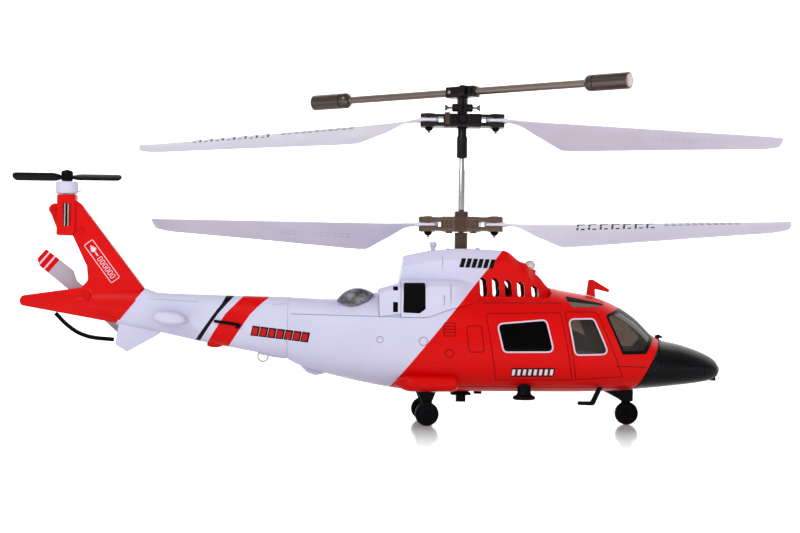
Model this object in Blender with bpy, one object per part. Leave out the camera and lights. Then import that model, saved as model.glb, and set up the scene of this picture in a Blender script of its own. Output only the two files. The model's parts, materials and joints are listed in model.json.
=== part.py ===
"""Coaxial remote control helicopter, about 23 cm long, as separate named pieces.

Lengths in this file are millimetres and angles degrees; MM turns lengths into
metres where a mesh is made. +X points to the nose, +Z up, and the port side is
+Y. The origin is under the middle of the model, on the ground.
"""

from math import acos, asin, ceil, cos, pi, radians, sin, tan

import bmesh
import bpy
from mathutils import Matrix, Vector

MM = 0.001

# ---- Driving dimensions ----------------------------------------------------
GAP = 0.3                 # between pieces that touch or are cut by each other
FIT = 0.1                 # radial clearance of a running shaft or pin
WALL = 1.0                # thickness of the moulded shells

MAST_X = 18.5             # both rotors turn about this upright line
ROTOR_RADIUS = 95.0
UPPER_ROTOR_Z = 89.1      # middle of the upper blade roots
LOWER_ROTOR_Z = 58.3
UPPER_YAW = -2.0          # how the rotors stand at rest
LOWER_YAW = -11.0
FOLD_RADIUS = 9.85        # from the mast to a blade's fold pin
FORK_REACH = 12.4         # from the mast to the end of a blade fork
FORK_HALF_WIDTH = 3.0
HUB_HALF_LENGTH = 5.6

INNER_SHAFT_RADIUS = 0.83
OUTER_SHAFT_RADIUS = 1.95
OUTER_SHAFT_BORE = 1.15

GEAR_MODULE = 0.6
GEAR_TEETH = 36
PINION_TEETH = 9
GEAR_SPACING = GEAR_MODULE * (GEAR_TEETH + PINION_TEETH) / 2 + 0.1
GEAR_THICKNESS = 2.0
INNER_GEAR_Z = 15.2       # underside of the inner shaft's gear
OUTER_GEAR_Z = 18.6

FLYBAR_Z = 97.5
FLYBAR_YAW = -34.0        # from the upper blades, about the mast
FLYBAR_REACH = 54.7
FLYBAR_RADIUS = 1.0
LINK_ALONG = 2.1          # link's place along the flybar, from its pivot
LINK_ACROSS = 3.3

TAIL_AXIS_X = -97.3       # tail motor and propeller
TAIL_PROP_RADIUS = 16.1
TAIL_PROP_Z = 71.6
SIDE_ROTOR = (-90.5, 35.4)
SIDE_ROTOR_REACH = 19.4
SIDE_ROTOR_ANGLE = 139.8
SIDE_ROTOR_Y = 4.7        # middle of its blades, clear of the boom they sweep past

WHEEL_RADIUS = 3.4
WHEEL_WIDTH = 2.6
WHEEL_SIDES = 20          # the tyre's tread stands on one of its flats
AXLE_RADIUS = 0.6
AXLE_Z = WHEEL_RADIUS * cos(pi / WHEEL_SIDES)
MAIN_WHEEL = (8.3, 14.6)  # along and across
NOSE_WHEEL_X = 67.9

# Outline of the body, as (along, height) or (along, half width).
BODY_TOP = [(-32, 36.4), (-20, 36.0), (-7.5, 38.0), (0, 38.8), (12, 39.3), (40, 39.4), (44.3, 40.0),
            (48, 39.1), (61, 36.6), (65, 34.3), (75, 26.2), (78, 25.0), (85.5, 22.7), (93.5, 19.4),
            (95.1, 17.6)]
BODY_BOTTOM = [(-32, 18.4), (-24, 14.6), (-2, 10.4), (7, 9.4), (66, 9.6), (71, 10.8), (85, 12.3),
               (94, 14.3), (95.1, 16.0)]
BODY_WIDTH = [(-32, 6.4), (-20, 10.5), (-7, 14.6), (7, 17.4), (25, 18.4), (48, 18.0), (60, 16.6),
              (70, 13.6), (80, 10.4), (88, 7.4), (94, 3.0), (95.1, 1.2)]
BODY_WAIST = [(-32, 27.5), (-7, 24.5), (7, 22.5), (48, 22.0), (70, 19.0), (95.1, 16.8)]
BODY_STATIONS = [-32, -28, -24, -19, -13, -7, 0.7, 1.0, 10, 22, 34, 44.4, 44.7, 50, 56, 61, 64, 67.5,
                 71, 75, 78]
NOSE_STATIONS = [66, 70, 75, 78, 82, 86, 90, 93, 94.6, 95.1]
UPPER_ROUND = 2.4         # superellipse powers of the body's section
LOWER_ROUND = 2.8
NOSE_JOINT = ((70.7, 12.0), (76.7, 25.3))    # slanted joint, low and high point

COWL_FROM = 1.6
COWL_TO = 44.1
COWL_FLOOR = 36.9
COWL_TOP = [(1.6, 48.5), (9, 50.2), (18.5, 51.0), (31.3, 50.4), (35.7, 47.4), (39.6, 44.2),
            (43.2, 40.6), (44.1, 40.0)]
COWL_WIDTH = [(1.6, 9.6), (10, 10.6), (20, 10.9), (32, 10.0), (40, 8.6), (44.1, 7.6)]
COWL_ROUND = 3.2
COWL_STATIONS = [1.6, 9, 18.5, 27, 31.5, 35.5, 39.6, 43.2, 44.1]
COWL_SLOTS = [(24.6, 42.9), (28.4, 42.6), (32.0, 42.2), (35.8, 41.5), (40.0, 40.4)]
SLOT_WIDTH = 2.1
SLOT_FLOOR = 37.2

POD_FROM = 1.6            # engine pods on both sides of the cowling
POD_TO = 16.4
POD_SECTION = [(8.0, 41.8), (12.4, 41.6), (14.6, 39.8), (15.6, 36.0), (16.2, 32.2), (8.0, 32.2)]

SPONSON_CENTRE = (13.4, 12.0)                # across and up
SPONSON_HALF = (5.4, 2.6)
SPONSON_STATIONS = [-20, -13, -7, 0.7, 10, 22]
SPONSON_SIZE = [(-18, 0.25), (-12, 0.6), (-4, 0.88), (6, 1.0), (13, 0.98), (16, 0.8), (17.4, 0.45)]

BOOM_TOP = [(-83, 41.5), (-74, 38.6), (-70, 37.2), (-57, 36.8), (-32.3, 36.4)]
BOOM_BOTTOM = [(-83, 27.9), (-69, 25.5), (-59, 23.4), (-43, 20.4), (-32.3, 18.5)]
BOOM_WIDTH = [(-83, 2.9), (-70, 3.7), (-50, 5.2), (-32.3, 6.3)]
BOOM_STATIONS = [-83, -74, -70, -63, -50, -41, -32.3]
FIN_JOINT = ((-82.1, 27.8), (-73.2, 38.5))   # slanted joint of boom and fin

CABIN_WINDOW = [(28.1, 29.2), (41.9, 30.5), (44.0, 21.6), (29.9, 21.4)]
DOOR_WINDOW = [(48.3, 30.8), (55.7, 31.2), (59.8, 21.4), (50.2, 20.8)]
WINDSCREEN = [(59.4, 31.9), (63.4, 37.5), (66.5, 36.0), (75.8, 28.0), (73.6, 25.0), (71.0, 21.1),
              (64.2, 20.9)]
ROOF_WINDOW = [(48.1, 37.4), (59.4, 35.8), (58.2, 34.7), (49.6, 34.3)]


# ---- Curves and sections ---------------------------------------------------
def smooth_value(points, x):
    """Height or width at x on a smooth curve through the points, without overshoot."""
    if x <= points[0][0]:
        return points[0][1]
    if x >= points[-1][0]:
        return points[-1][1]
    index = next(i for i in range(len(points) - 1) if x <= points[i + 1][0])
    slopes = [(b[1] - a[1]) / (b[0] - a[0]) for a, b in zip(points, points[1:])]

    def tangent(i):
        if i == 0:
            return slopes[0]
        if i == len(points) - 1:
            return slopes[-1]
        before, after = slopes[i - 1], slopes[i]
        if before * after <= 0:
            return 0.0
        return 2 * before * after / (before + after)

    (x0, y0), (x1, y1) = points[index], points[index + 1]
    span = x1 - x0
    t = (x - x0) / span
    return ((2 * t**3 - 3 * t**2 + 1) * y0 + (t**3 - 2 * t**2 + t) * span * tangent(index)
            + (3 * t**2 - 2 * t**3) * y1 + (t**3 - t**2) * span * tangent(index + 1))


def inset_path(path, depth):
    """Open (across, up) path moved inwards by depth; its ends move straight up or down."""
    moved = []
    for i, (y, z) in enumerate(path):
        before = Vector(path[max(i - 1, 0)])
        after = Vector(path[min(i + 1, len(path) - 1)])
        along = (after - before).normalized()
        inward = Vector((along.y, -along.x))
        if path[i][0] < 0.2:
            inward = Vector((0.0, -1.0 if i == 0 else 1.0))
        moved.append((max(y + inward.x * depth, path[i][0] if y < 0.2 else 0.15), z + inward.y * depth))
    return moved


def body_half(x, start=0.15, depth=0.0, steps=7):
    """Half section of the body at x, top to bottom, as (across, up) points."""
    top = smooth_value(BODY_TOP, x)
    bottom = smooth_value(BODY_BOTTOM, x)
    width = smooth_value(BODY_WIDTH, x)
    waist = smooth_value(BODY_WAIST, x)
    first = asin((start / width) ** (UPPER_ROUND / 2))
    last = acos((0.15 / width) ** (LOWER_ROUND / 2))
    path = []
    for i in range(steps + 1):
        angle = first + (pi / 2 - first) * i / steps
        path.append((width * sin(angle) ** (2 / UPPER_ROUND),
                     waist + (top - waist) * max(cos(angle), 0.0) ** (2 / UPPER_ROUND)))
    for i in range(1, steps + 1):
        angle = last * i / steps
        path.append((width * cos(angle) ** (2 / LOWER_ROUND),
                     waist - (waist - bottom) * sin(angle) ** (2 / LOWER_ROUND)))
    return inset_path(path, depth) if depth else path


def shell_start(x):
    """The shells stop beside the cowling, where the roof is open."""
    return smooth_value(COWL_WIDTH, x) + GAP if COWL_FROM - 0.7 < x < COWL_TO + 0.4 else 0.15


def oval_ring(x, top, bottom, width, power, count=24, depth=0.0):
    """Closed superellipse section across the model at x."""
    middle = (top + bottom) / 2
    ring = []
    for i in range(count):
        angle = 2 * pi * i / count
        across = abs(cos(angle)) ** (2 / power) * (width - depth)
        up = abs(sin(angle)) ** (2 / power) * ((top - bottom) / 2 - depth)
        ring.append((x, across if cos(angle) >= 0 else -across, middle + (up if sin(angle) >= 0 else -up)))
    return ring


def both_sides(half, x):
    """Closed ring at x from a half section, mirrored to the other side."""
    right = [(x, -y, z) for y, z in half]
    left = [(x, y, z) for y, z in reversed(half)]
    return right + left


# ---- Solids, as (points, faces) in millimetres ------------------------------
def loft(rings):
    """Solid through closed rings of equal length, with flat ends."""
    count = len(rings[0])
    points = [p for ring in rings for p in ring]
    faces = [tuple(range(count)), tuple((len(rings) - 1) * count + i for i in reversed(range(count)))]
    for r in range(len(rings) - 1):
        for i in range(count):
            j = (i + 1) % count
            faces.append((r * count + i, r * count + j, (r + 1) * count + j, (r + 1) * count + i))
    return points, faces


def loft_tube(outer, inner):
    """Open-ended tube between outer and inner rings."""
    count, rows = len(outer[0]), len(outer)
    points = [p for ring in outer for p in ring] + [p for ring in inner for p in ring]
    shift = rows * count
    faces = []
    for i in range(count):
        j = (i + 1) % count
        for r in range(rows - 1):
            faces.append((r * count + i, r * count + j, (r + 1) * count + j, (r + 1) * count + i))
            faces.append((shift + r * count + j, shift + r * count + i, shift + (r + 1) * count + i,
                          shift + (r + 1) * count + j))
        for r in (0, rows - 1):
            faces.append((r * count + i, shift + r * count + i, shift + r * count + j, r * count + j))
    return points, faces


def prism(outline, low, high, axis="y"):
    """Flat outline pushed from low to high: (x, z) along y, (x, y) along z, (y, z) along x."""
    place = {"x": lambda a, b, h: (h, a, b), "y": lambda a, b, h: (a, h, b), "z": lambda a, b, h: (a, b, h)}
    return loft([[place[axis](a, b, h) for a, b in outline] for h in (low, high)])


def box(x0, x1, y0, y1, z0, z1):
    return prism([(x0, y0), (x1, y0), (x1, y1), (x0, y1)], z0, z1, "z")


def turned(profile, centre, axis="z", segments=16):
    """Profile of (radius, height) turned about an axis through centre.

    A profile that starts and ends at radius 0 makes a solid; any other closes on itself as a ring.
    """
    swap = {"z": lambda u, v, h: (u, v, h), "y": lambda u, v, h: (v, h, u), "x": lambda u, v, h: (h, u, v)}
    solid = profile[0][0] == 0
    inner = profile[1:-1] if solid else profile
    points, faces = [], []
    for i in range(segments):
        angle = 2 * pi * i / segments
        for radius, height in inner:
            offset = swap[axis](radius * cos(angle), radius * sin(angle), height)
            points.append(tuple(c + o for c, o in zip(centre, offset)))
    count = len(inner)
    spans = range(count - 1) if solid else range(count)
    for i in range(segments):
        j = (i + 1) % segments
        for k in spans:
            m = (k + 1) % count
            faces.append((i * count + k, j * count + k, j * count + m, i * count + m))
    if solid:
        for height, k in ((profile[0][1], 0), (profile[-1][1], count - 1)):
            points.append(tuple(c + o for c, o in zip(centre, swap[axis](0, 0, height))))
            tip = len(points) - 1
            for i in range(segments):
                faces.append((tip, i * count + k, ((i + 1) % segments) * count + k))
    return points, faces


def cylinder(radius, low, high, centre=(0, 0, 0), axis="z", segments=16):
    return turned([(0, low), (radius, low), (radius, high), (0, high)], centre, axis, segments)


def swept(path, radius, sides=8):
    """Round rod along a path that lies in the upright plane through the model's length."""
    rings = []
    for i, point in enumerate(path):
        before = Vector(path[max(i - 1, 0)])
        after = Vector(path[min(i + 1, len(path) - 1)])
        along = (after - before).normalized()
        side = Vector((0, 1, 0))
        up = along.cross(side)
        ring = []
        for k in range(sides):
            angle = 2 * pi * k / sides
            ring.append(tuple(Vector(point) + radius * (cos(angle) * side + sin(angle) * up)))
        rings.append(ring)
    return loft(rings)


def turn_about(solid, angle, x=MAST_X, y=0.0, axis="Z", z=0.0):
    """The same solid turned by an angle about an axis through (x, y, z)."""
    points, faces = solid
    centre = Vector((x, y, z))
    matrix = Matrix.Rotation(radians(angle), 3, axis)
    return [tuple(matrix @ (Vector(p) - centre) + centre) for p in points], faces


def at_mast(solid):
    """Solid drawn about the line x = 0, moved to the mast."""
    points, faces = solid
    return [(x + MAST_X, y, z) for x, y, z in points], faces


# ---- Objects ---------------------------------------------------------------
def clear_scene():
    for old in list(bpy.data.objects):
        bpy.data.objects.remove(old, do_unlink=True)


def material(name, color, roughness=0.4, metallic=0.0, alpha=1.0):
    made = bpy.data.materials.get(name)
    if made:
        return made
    made = bpy.data.materials.new(name)
    made.use_nodes = True
    shader = made.node_tree.nodes["Principled BSDF"]
    shader.inputs["Base Color"].default_value = (*color, 1.0)
    shader.inputs["Roughness"].default_value = roughness
    shader.inputs["Metallic"].default_value = metallic
    shader.inputs["Alpha"].default_value = alpha
    return made


def red():
    return material("red_plastic", (0.6, 0.01, 0.01), 0.25)


def white():
    return material("white_plastic", (0.75, 0.74, 0.82), 0.3)


def black():
    return material("black_plastic", (0.015, 0.015, 0.018), 0.3)


def smoke():
    return material("smoke_plastic", (0.06, 0.04, 0.035), 0.2, alpha=0.85)


def blade_white():
    return material("blade_plastic", (0.7, 0.68, 0.74), 0.35)


def steel():
    return material("steel", (0.55, 0.52, 0.5), 0.25, metallic=1.0)


def add_object(name, solid, finish, origin=(0, 0, 0), sharp=35):
    """Mesh object whose own origin is at origin, shaded smooth up to the sharp angle."""
    points, faces = solid
    mesh = bpy.data.meshes.new(name)
    mesh.from_pydata([(Vector(p) - Vector(origin)) * MM for p in points], [], faces)
    work = bmesh.new()
    work.from_mesh(mesh)
    bmesh.ops.recalc_face_normals(work, faces=work.faces)
    work.to_mesh(mesh)
    work.free()
    mesh.shade_smooth()
    mesh.set_sharp_from_angle(angle=radians(sharp))
    made = bpy.data.objects.new(name, mesh)
    made.location = Vector(origin) * MM
    bpy.context.scene.collection.objects.link(made)
    if finish:
        mesh.materials.append(finish)
    return made


def shape_with(target, solid, operation):
    """Boolean of the target with a hidden guide solid."""
    guide = add_object(f"guide_{target.name}_{len(target.modifiers)}", solid, None)
    guide.hide_render = True
    guide.display_type = "WIRE"
    change = target.modifiers.new(operation.lower(), "BOOLEAN")
    change.operation = operation
    change.solver = "EXACT"
    change.object = guide


def cut(target, *solids):
    for solid in solids:
        shape_with(target, solid, "DIFFERENCE")


def join(target, *solids):
    for solid in solids:
        shape_with(target, solid, "UNION")


def keep(target, solid):
    shape_with(target, solid, "INTERSECT")


# ---- Body shells, nose and glazing ------------------------------------------
def shell_ring(x, side, outer_depth, inner_depth, start):
    outer = body_half(x, start, outer_depth)
    inner = body_half(x, start, inner_depth)
    return [(x, side * y, z) for y, z in outer + inner[::-1]]


def body_solid(depth=0.0, stations=None):
    """Whole body as one solid, for cutting other pieces to its surface."""
    return loft([both_sides(body_half(x, depth=depth), x) for x in stations or BODY_STATIONS])


def joint_wedge(joint, offset, forward):
    """Big block on one side of a slanted joint, moved along the joint's normal by offset."""
    (x0, z0), (x1, z1) = joint
    along = Vector((x1 - x0, z1 - z0)).normalized()
    normal = Vector((along.y, -along.x))
    low = Vector((x0, z0)) - along * 40 + normal * offset
    high = Vector((x1, z1)) + along * 40 + normal * offset
    depth = normal * (60 if forward else -60)
    return prism([tuple(p) for p in (low, high, high + depth, low + depth)], -40, 40)


def grown(outline, margin):
    """Convex outline moved outwards by margin."""
    centre = Vector((sum(p[0] for p in outline), sum(p[1] for p in outline))) / len(outline)
    result = []
    for i, point in enumerate(outline):
        before, here, after = Vector(outline[i - 1]), Vector(point), Vector(outline[(i + 1) % len(outline)])
        normals = []
        for start, end in ((before, here), (here, after)):
            edge = (end - start).normalized()
            normal = Vector((edge.y, -edge.x))
            normals.append(normal if normal.dot(here - centre) > 0 else -normal)
        middle = (normals[0] + normals[1]).normalized()
        result.append(tuple(here + middle * margin / max(middle.dot(normals[0]), 0.4)))
    return result


def pod_prism(side, margin=0.0):
    section = grown(POD_SECTION, margin)
    return prism([(side * y, z) for y, z in section], POD_FROM - margin, POD_TO + margin, "x")


def sponson(side, margin=0.0):
    """Streamlined bulge above the main wheel, blunt at its front."""
    rings = []
    for x, size in SPONSON_SIZE:
        x = x + (margin if x > 0 else -margin) if size < 0.5 else x
        rings.append([(x, side * SPONSON_CENTRE[0] + (SPONSON_HALF[0] * size + margin) * cos(2 * pi * i / 14),
                       SPONSON_CENTRE[1] + (SPONSON_HALF[1] * size + margin) * sin(2 * pi * i / 14))
                      for i in range(14)])
    return loft(rings)


def fuselage_shell(name, side):
    rings = [shell_ring(x, side, 0.0, WALL, shell_start(x)) for x in BODY_STATIONS]
    shell = add_object(name, loft(rings), red())
    near, far = sorted((side * 1.0, side * 25.0))
    join(shell, sponson(side))
    cut(shell, body_solid(WALL + 0.05, SPONSON_STATIONS), joint_wedge(NOSE_JOINT, -GAP / 2, True))
    for outline in (CABIN_WINDOW, DOOR_WINDOW):
        cut(shell, prism(outline, near, far))
    cut(shell, prism(WINDSCREEN, -25, 25))
    cut(shell, prism(ROOF_WINDOW, near, far))
    cut(shell, pod_prism(side, GAP), cowl_solid(GAP))
    cut(shell, box(16.3, 21.3, -3.5, 3.5, 5, 14))
    cut(shell, cylinder(1.5, 5, 14, (23.9, 0, 0)))


def glazing(name, side, outline, first, last, finish):
    """Pane that follows the body's surface, kept just below it."""
    stations = [x for x in BODY_STATIONS if first < x < last]
    rings = [shell_ring(x, side, 0.1, WALL, 0.15) for x in [first, *stations, last]]
    pane = add_object(name, loft(rings), finish)
    near, far = sorted((side * 1.0, side * 25.0))
    keep(pane, prism(grown(outline, -FIT), near, far))


def windscreen_pane():
    stations = [56, 61, 64, 67.5, 71, 75, 78]
    rings = []
    for x in stations:
        outer = body_half(x, 0.16, 0.1)[:10]
        inner = body_half(x, 0.16, WALL)[:10]
        path = [(-y, z) for y, z in reversed(outer)] + outer + inner[::-1] + [(-y, z) for y, z in inner]
        rings.append([(x, y, z) for y, z in path])
    pane = add_object("windscreen", loft(rings), smoke())
    keep(pane, prism(grown(WINDSCREEN, -FIT), -25, 25))


def nose_cone():
    nose = add_object("nose_cone", loft([both_sides(body_half(x), x) for x in NOSE_STATIONS]), black())
    hollow = [both_sides(body_half(x, depth=1.4), x) for x in NOSE_STATIONS[:5]]
    cut(nose, loft(hollow), joint_wedge(NOSE_JOINT, GAP / 2, False))


def cowl_ring(x, depth, floor):
    top = smooth_value(COWL_TOP, x) - depth
    width = smooth_value(COWL_WIDTH, x) - depth
    steps = 8
    half = []
    for i in range(steps + 1):
        angle = pi / 2 * i / steps
        half.append((width * sin(angle) ** (2 / COWL_ROUND),
                     COWL_FLOOR + (top - COWL_FLOOR) * max(cos(angle), 0.0) ** (2 / COWL_ROUND)))
    half[-1] = (width, floor)
    right = [(x, -y, z) for y, z in half[1:]]
    left = [(x, y, z) for y, z in reversed(half)]
    return left + right


def cowl_solid(margin):
    """Cowling as one solid, grown by a margin all round."""
    rings = [cowl_ring(x, -margin, COWL_FLOOR - margin) for x in COWL_STATIONS]
    for ring, move in ((rings[0], -margin), (rings[-1], margin)):
        ring[:] = [(x + move, y, z) for x, y, z in ring]
    return loft(rings)


def engine_cowling():
    cowl = add_object("engine_cowling", cowl_solid(0.0), white())
    for side in (-1, 1):
        join(cowl, pod_prism(side))
    inner = [COWL_FROM + WALL, *COWL_STATIONS[1:-2], COWL_TO - 2.6]
    cut(cowl, loft([cowl_ring(x, WALL, COWL_FLOOR - 1) for x in inner]))
    pod_hollow = [(0, 40.8), (11.9, 40.6), (13.6, 39.2), (14.6, 36.0), (15.0, 31), (0, 31)]
    for side in (-1, 1):
        hollow = [(side * y, z) for y, z in pod_hollow]
        cut(cowl, prism(hollow, POD_FROM + WALL, POD_TO - WALL, "x"))
    for middle, top in COWL_SLOTS:
        half = SLOT_WIDTH / 2
        outline = [(middle - half, SLOT_FLOOR), (middle + half, SLOT_FLOOR), (middle + half, top - 0.6),
                   (middle + 0.4, top), (middle - half, top + 0.2)]
        cut(cowl, prism(outline, -20, 20))
    cut(cowl, cylinder(OUTER_SHAFT_RADIUS + 0.8, 45, 55, (MAST_X, 0, 0)))
    for side in (-1, 1):
        near, far = sorted((side * 14.7, side * 18))
        cut(cowl, prism([(1.0, 32.6), (5.6, 32.6), (7.3, 34.2), (7.3, 39.4), (1.0, 39.4)], near, far))


def intake(name, side):
    near, far = sorted((side * 15.0, side * 15.5))
    outline = [(1.9, 32.9), (5.5, 32.9), (7.0, 34.4), (7.0, 39.1), (1.9, 39.1)]
    panel = add_object(name, prism(outline, near, far), black())
    for i in range(3):
        opening = 2.6 + 1.5 * i
        cut(panel, box(opening, opening + 0.8, -20, 20, 34.6, 38.6))


def exhaust(name, side):
    """Smoked teardrop blister on the rear deck."""
    length, height, width = 5.4, 2.6, 3.4
    rings = []
    for i in range(1, 8):
        along = -cos(pi * i / 8)
        size = sin(pi * i / 8) ** 0.8
        ring = []
        for k in range(10):
            angle = 2 * pi * k / 10
            ring.append((-12.8 + length * along, side * 8.0 + width * size * cos(angle),
                         36.0 + height * size * sin(angle) + 0.5 * along))
        rings.append(ring)
    blister = add_object(name, loft(rings), smoke())
    cut(blister, body_solid(-0.2, [-24, -19, -13, -7, 0.7]))


# ---- Tail --------------------------------------------------------------------
def boom_ring(x, depth):
    return oval_ring(x, smooth_value(BOOM_TOP, x), smooth_value(BOOM_BOTTOM, x),
                     smooth_value(BOOM_WIDTH, x), 2.4, 20, depth)


def tail_boom():
    outer = [boom_ring(x, 0.0) for x in BOOM_STATIONS]
    inner = [boom_ring(x, 0.9) for x in BOOM_STATIONS]
    boom = add_object("tail_boom", loft_tube(outer, inner), white())
    cut(boom, joint_wedge(FIN_JOINT, -GAP, False))
    ventral_fin = [(-81.4, 28.6), (-82.3, 21.9), (-79.0, 19.9), (-70.0, 24.9), (-69.0, 25.9), (-74, 27.6)]
    join(boom, prism(ventral_fin, -1.1, 1.1))


def stabiliser(name, side):
    rings = []
    for reach, scale in ((4.6, 1.0), (12.0, 0.97), (13.2, 0.85), (13.7, 0.6)):
        rings.append([(-65.8 + 5.0 * scale * cos(2 * pi * i / 20), side * reach,
                       29.8 + 2.0 * scale * sin(2 * pi * i / 20)) for i in range(20)])
    add_object(name, loft(rings), white())


FIN_OUTLINE = [(-94.7, 64.3), (-92.8, 62.6), (-89.9, 59.2), (-73.4, 38.9), (-82.4, 28.2), (-110.0, 32.9),
               (-110.9, 34.0), (-110.7, 35.6), (-109.6, 36.0), (-93.0, 38.4), (-91.2, 40.0), (-91.2, 43.5),
               (-92.4, 47.0), (-95.4, 53.6)]
HOLDER_OUTLINE = [(-99.8, 54.6), (-98.8, 53.6), (-95.4, 53.6), (-94.6, 54.6), (-94.6, 65.5), (-99.8, 65.5)]


def tail_fin(name, side):
    """Half of the red fin: a swept plate below the tail motor's upright holder."""
    near, far = sorted((side * 0.12, side * 1.9))
    half = add_object(name, prism(FIN_OUTLINE, near, far), red())
    near, far = sorted((side * 0.12, side * 2.6))
    join(half, prism(HOLDER_OUTLINE, near, far))
    lug_low, lug_high = sorted((side * 0.12, side * 1.5))
    join(half, cylinder(1.5, lug_low, lug_high, (-100.6, 0, 61.3), "y", 16))
    cut(half, cylinder(2.15, 55.2, 70, (TAIL_AXIS_X, 0, 0), "z", 20))
    near, far = sorted((side * 0.5, side * 5))
    cut(half, box(-98.3, -95.9, near, far, 56.6, 63.1))
    if side > 0:
        join(half, cylinder(0.9, 1.0, SIDE_ROTOR_Y + 1.3, (SIDE_ROTOR[0], 0, SIDE_ROTOR[1]), "y", 16))


def tail_drive():
    centre = (TAIL_AXIS_X, 0, 0)
    add_object("tail_motor", cylinder(1.95, 55.5, 65.3, centre, "z", 16), steel())
    cap = [(0.8, 65.8), (3.1, 65.8), (3.25, 66.2), (3.25, 68.7), (2.9, 69.3), (0.8, 69.3)]
    add_object("tail_motor_cap", turned(cap, centre), white())
    rings = []
    for share, half in ((-1, 0.6), (-0.94, 1.2), (-0.5, 1.9), (-0.2, 1.6), (-0.08, 1.0), (0.08, 1.0),
                        (0.2, 1.6), (0.5, 1.9), (0.94, 1.2), (1, 0.6)):
        reach = share * TAIL_PROP_RADIUS
        pitch = radians(18 if share > 0 else -18)
        section = [(-half, 0.15), (0, 0.3), (half, 0.15), (half, -0.15), (0, -0.3), (-half, -0.15)]
        rings.append([(TAIL_AXIS_X + reach, a * cos(pitch) - b * sin(pitch),
                       TAIL_PROP_Z + a * sin(pitch) + b * cos(pitch)) for a, b in section])
    prop = add_object("tail_propeller", loft(rings), black(), (TAIL_AXIS_X, 0, TAIL_PROP_Z))
    hub = [(0, 66.0), (0.45, 66.0), (0.45, 70.2), (1.3, 70.4), (1.4, 72.4), (0.9, 72.9), (0, 72.9)]
    join(prop, turned(hub, centre, "z", 16))


def side_rotor():
    """Small two-blade rotor on a pin on the fin's port side."""
    x, z = SIDE_ROTOR
    reach = SIDE_ROTOR_REACH
    outline = [(-reach, -2.4), (-4, -2.9), (-2.2, -2.2), (2.2, -2.2), (4, -2.9), (reach, -2.4),
               (reach + 0.1, 1.6), (reach - 1.6, 2.8), (4, 2.4), (2.2, 2.2), (-2.2, 2.2), (-4, 2.4),
               (-reach + 1.6, 2.8), (-reach - 0.1, 1.6)]
    middle = SIDE_ROTOR_Y
    blades = prism([(x + a, z + b) for a, b in outline], middle - 0.4, middle + 0.4)
    blades = turn_about(blades, -SIDE_ROTOR_ANGLE, x, 0, "Y", z)
    rotor = add_object("side_rotor", blades, white(), (x, middle, z))
    join(rotor, cylinder(2.4, middle - 0.8, middle + 0.9, (x, 0, z), "y", 20))
    cut(rotor, cylinder(0.9 + FIT, 0, 8, (x, 0, z), "y", 20))


def tail_hoop():
    """Bent wire from the fin's lower arm to the ventral fin."""
    knots = [(0, -100.0, 30.8), (1, -96.4, 27.3), (2, -92.6, 24.9), (3, -88.7, 23.8), (4, -82.9, 23.3)]
    path = []
    for i in range(13):
        t = i / 3
        path.append((smooth_value([(k, x) for k, x, z in knots], t), 0,
                     smooth_value([(k, z) for k, x, z in knots], t)))
    add_object("tail_hoop", swept(path, 0.55), black())


# ---- Fittings on the body ------------------------------------------------------
def fittings():
    dome = [(0, 43.0), (1.6, 43.0), (1.6, 45.6), (1.35, 46.6), (0.75, 47.3), (0, 47.5)]
    lamp = add_object("dome_lamp", turned(dome, (38.9, 0, 0), "z", 16), smoke())
    cut(lamp, cowl_solid(0.2))
    horn = [(55.4, 36.0), (58.6, 36.0), (58.3, 40.0), (62.6, 39.3), (62.2, 40.1), (57.5, 42.6), (56.4, 42.6)]
    cutter = add_object("wire_cutter", prism(horn, -0.6, 0.6), red())
    cut(cutter, body_solid(-0.2, [50, 56, 61, 64, 67.5]))
    step = [(59.6, 12.5), (58.2, 12.5), (55.6, 7.1), (51.9, 7.2), (51.9, 6.2), (56.2, 6.1), (56.8, 6.4)]
    foot = add_object("boarding_step", prism(step, -12.2, -11.0), black())
    cut(foot, body_solid(-0.2, [44.7, 50, 56, 61, 64]))
    lamp_profile = [(0, 7.6), (3.0, 7.6), (3.3, 8.0), (3.2, 8.6), (2.1, 9.2), (1.9, 10), (1.9, 14), (0, 14)]
    belly = add_object("belly_lamp", turned(lamp_profile, (36.8, -12.6, 0), "z", 20), black())
    cut(belly, body_solid(-0.2, [22, 34, 44.4, 50]))


# ---- Landing gear ----------------------------------------------------------------
def wheel(name, x, y):
    half = WHEEL_WIDTH / 2
    bore = AXLE_RADIUS + FIT
    profile = [(bore, -half), (1.4, -half), (1.6, -half + 0.5), (2.6, -half + 0.5), (2.8, -half),
               (3.0, -half), (WHEEL_RADIUS, -half + 0.5), (WHEEL_RADIUS, half - 0.5), (3.0, half),
               (bore, half)]
    centre = (x, y, AXLE_Z)
    tyre = turned(profile, centre, "y", WHEEL_SIDES)
    add_object(name, turn_about(tyre, 180 / WHEEL_SIDES, x, y, "Y", AXLE_Z), black(), centre)


def main_gear(side_name, side):
    x, y = MAIN_WHEEL
    leg = [(5.4, 13.6), (11.6, 13.6), (10.9, 9.9), (9.8, 6.9), (9.3, 2.6), (7.3, 2.6), (6.9, 6.9), (5.8, 9.9)]
    inner, outer = y - WHEEL_WIDTH / 2 - 1.7, y - WHEEL_WIDTH / 2 - 0.3
    low, high = sorted((side * inner, side * outer))
    strut = add_object(f"main_strut_{side_name}", prism(leg, low, high), black())
    low, high = sorted((side * (inner + 0.5), side * (y + WHEEL_WIDTH / 2 + 0.2)))
    join(strut, cylinder(AXLE_RADIUS, low, high, (x, 0, AXLE_Z), "y", 12))
    cut(strut, body_solid(-0.2, [-7, 1.0, 10, 22]), sponson(side, 0.2))
    wheel(f"main_wheel_{side_name}", x, side * y)


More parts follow.
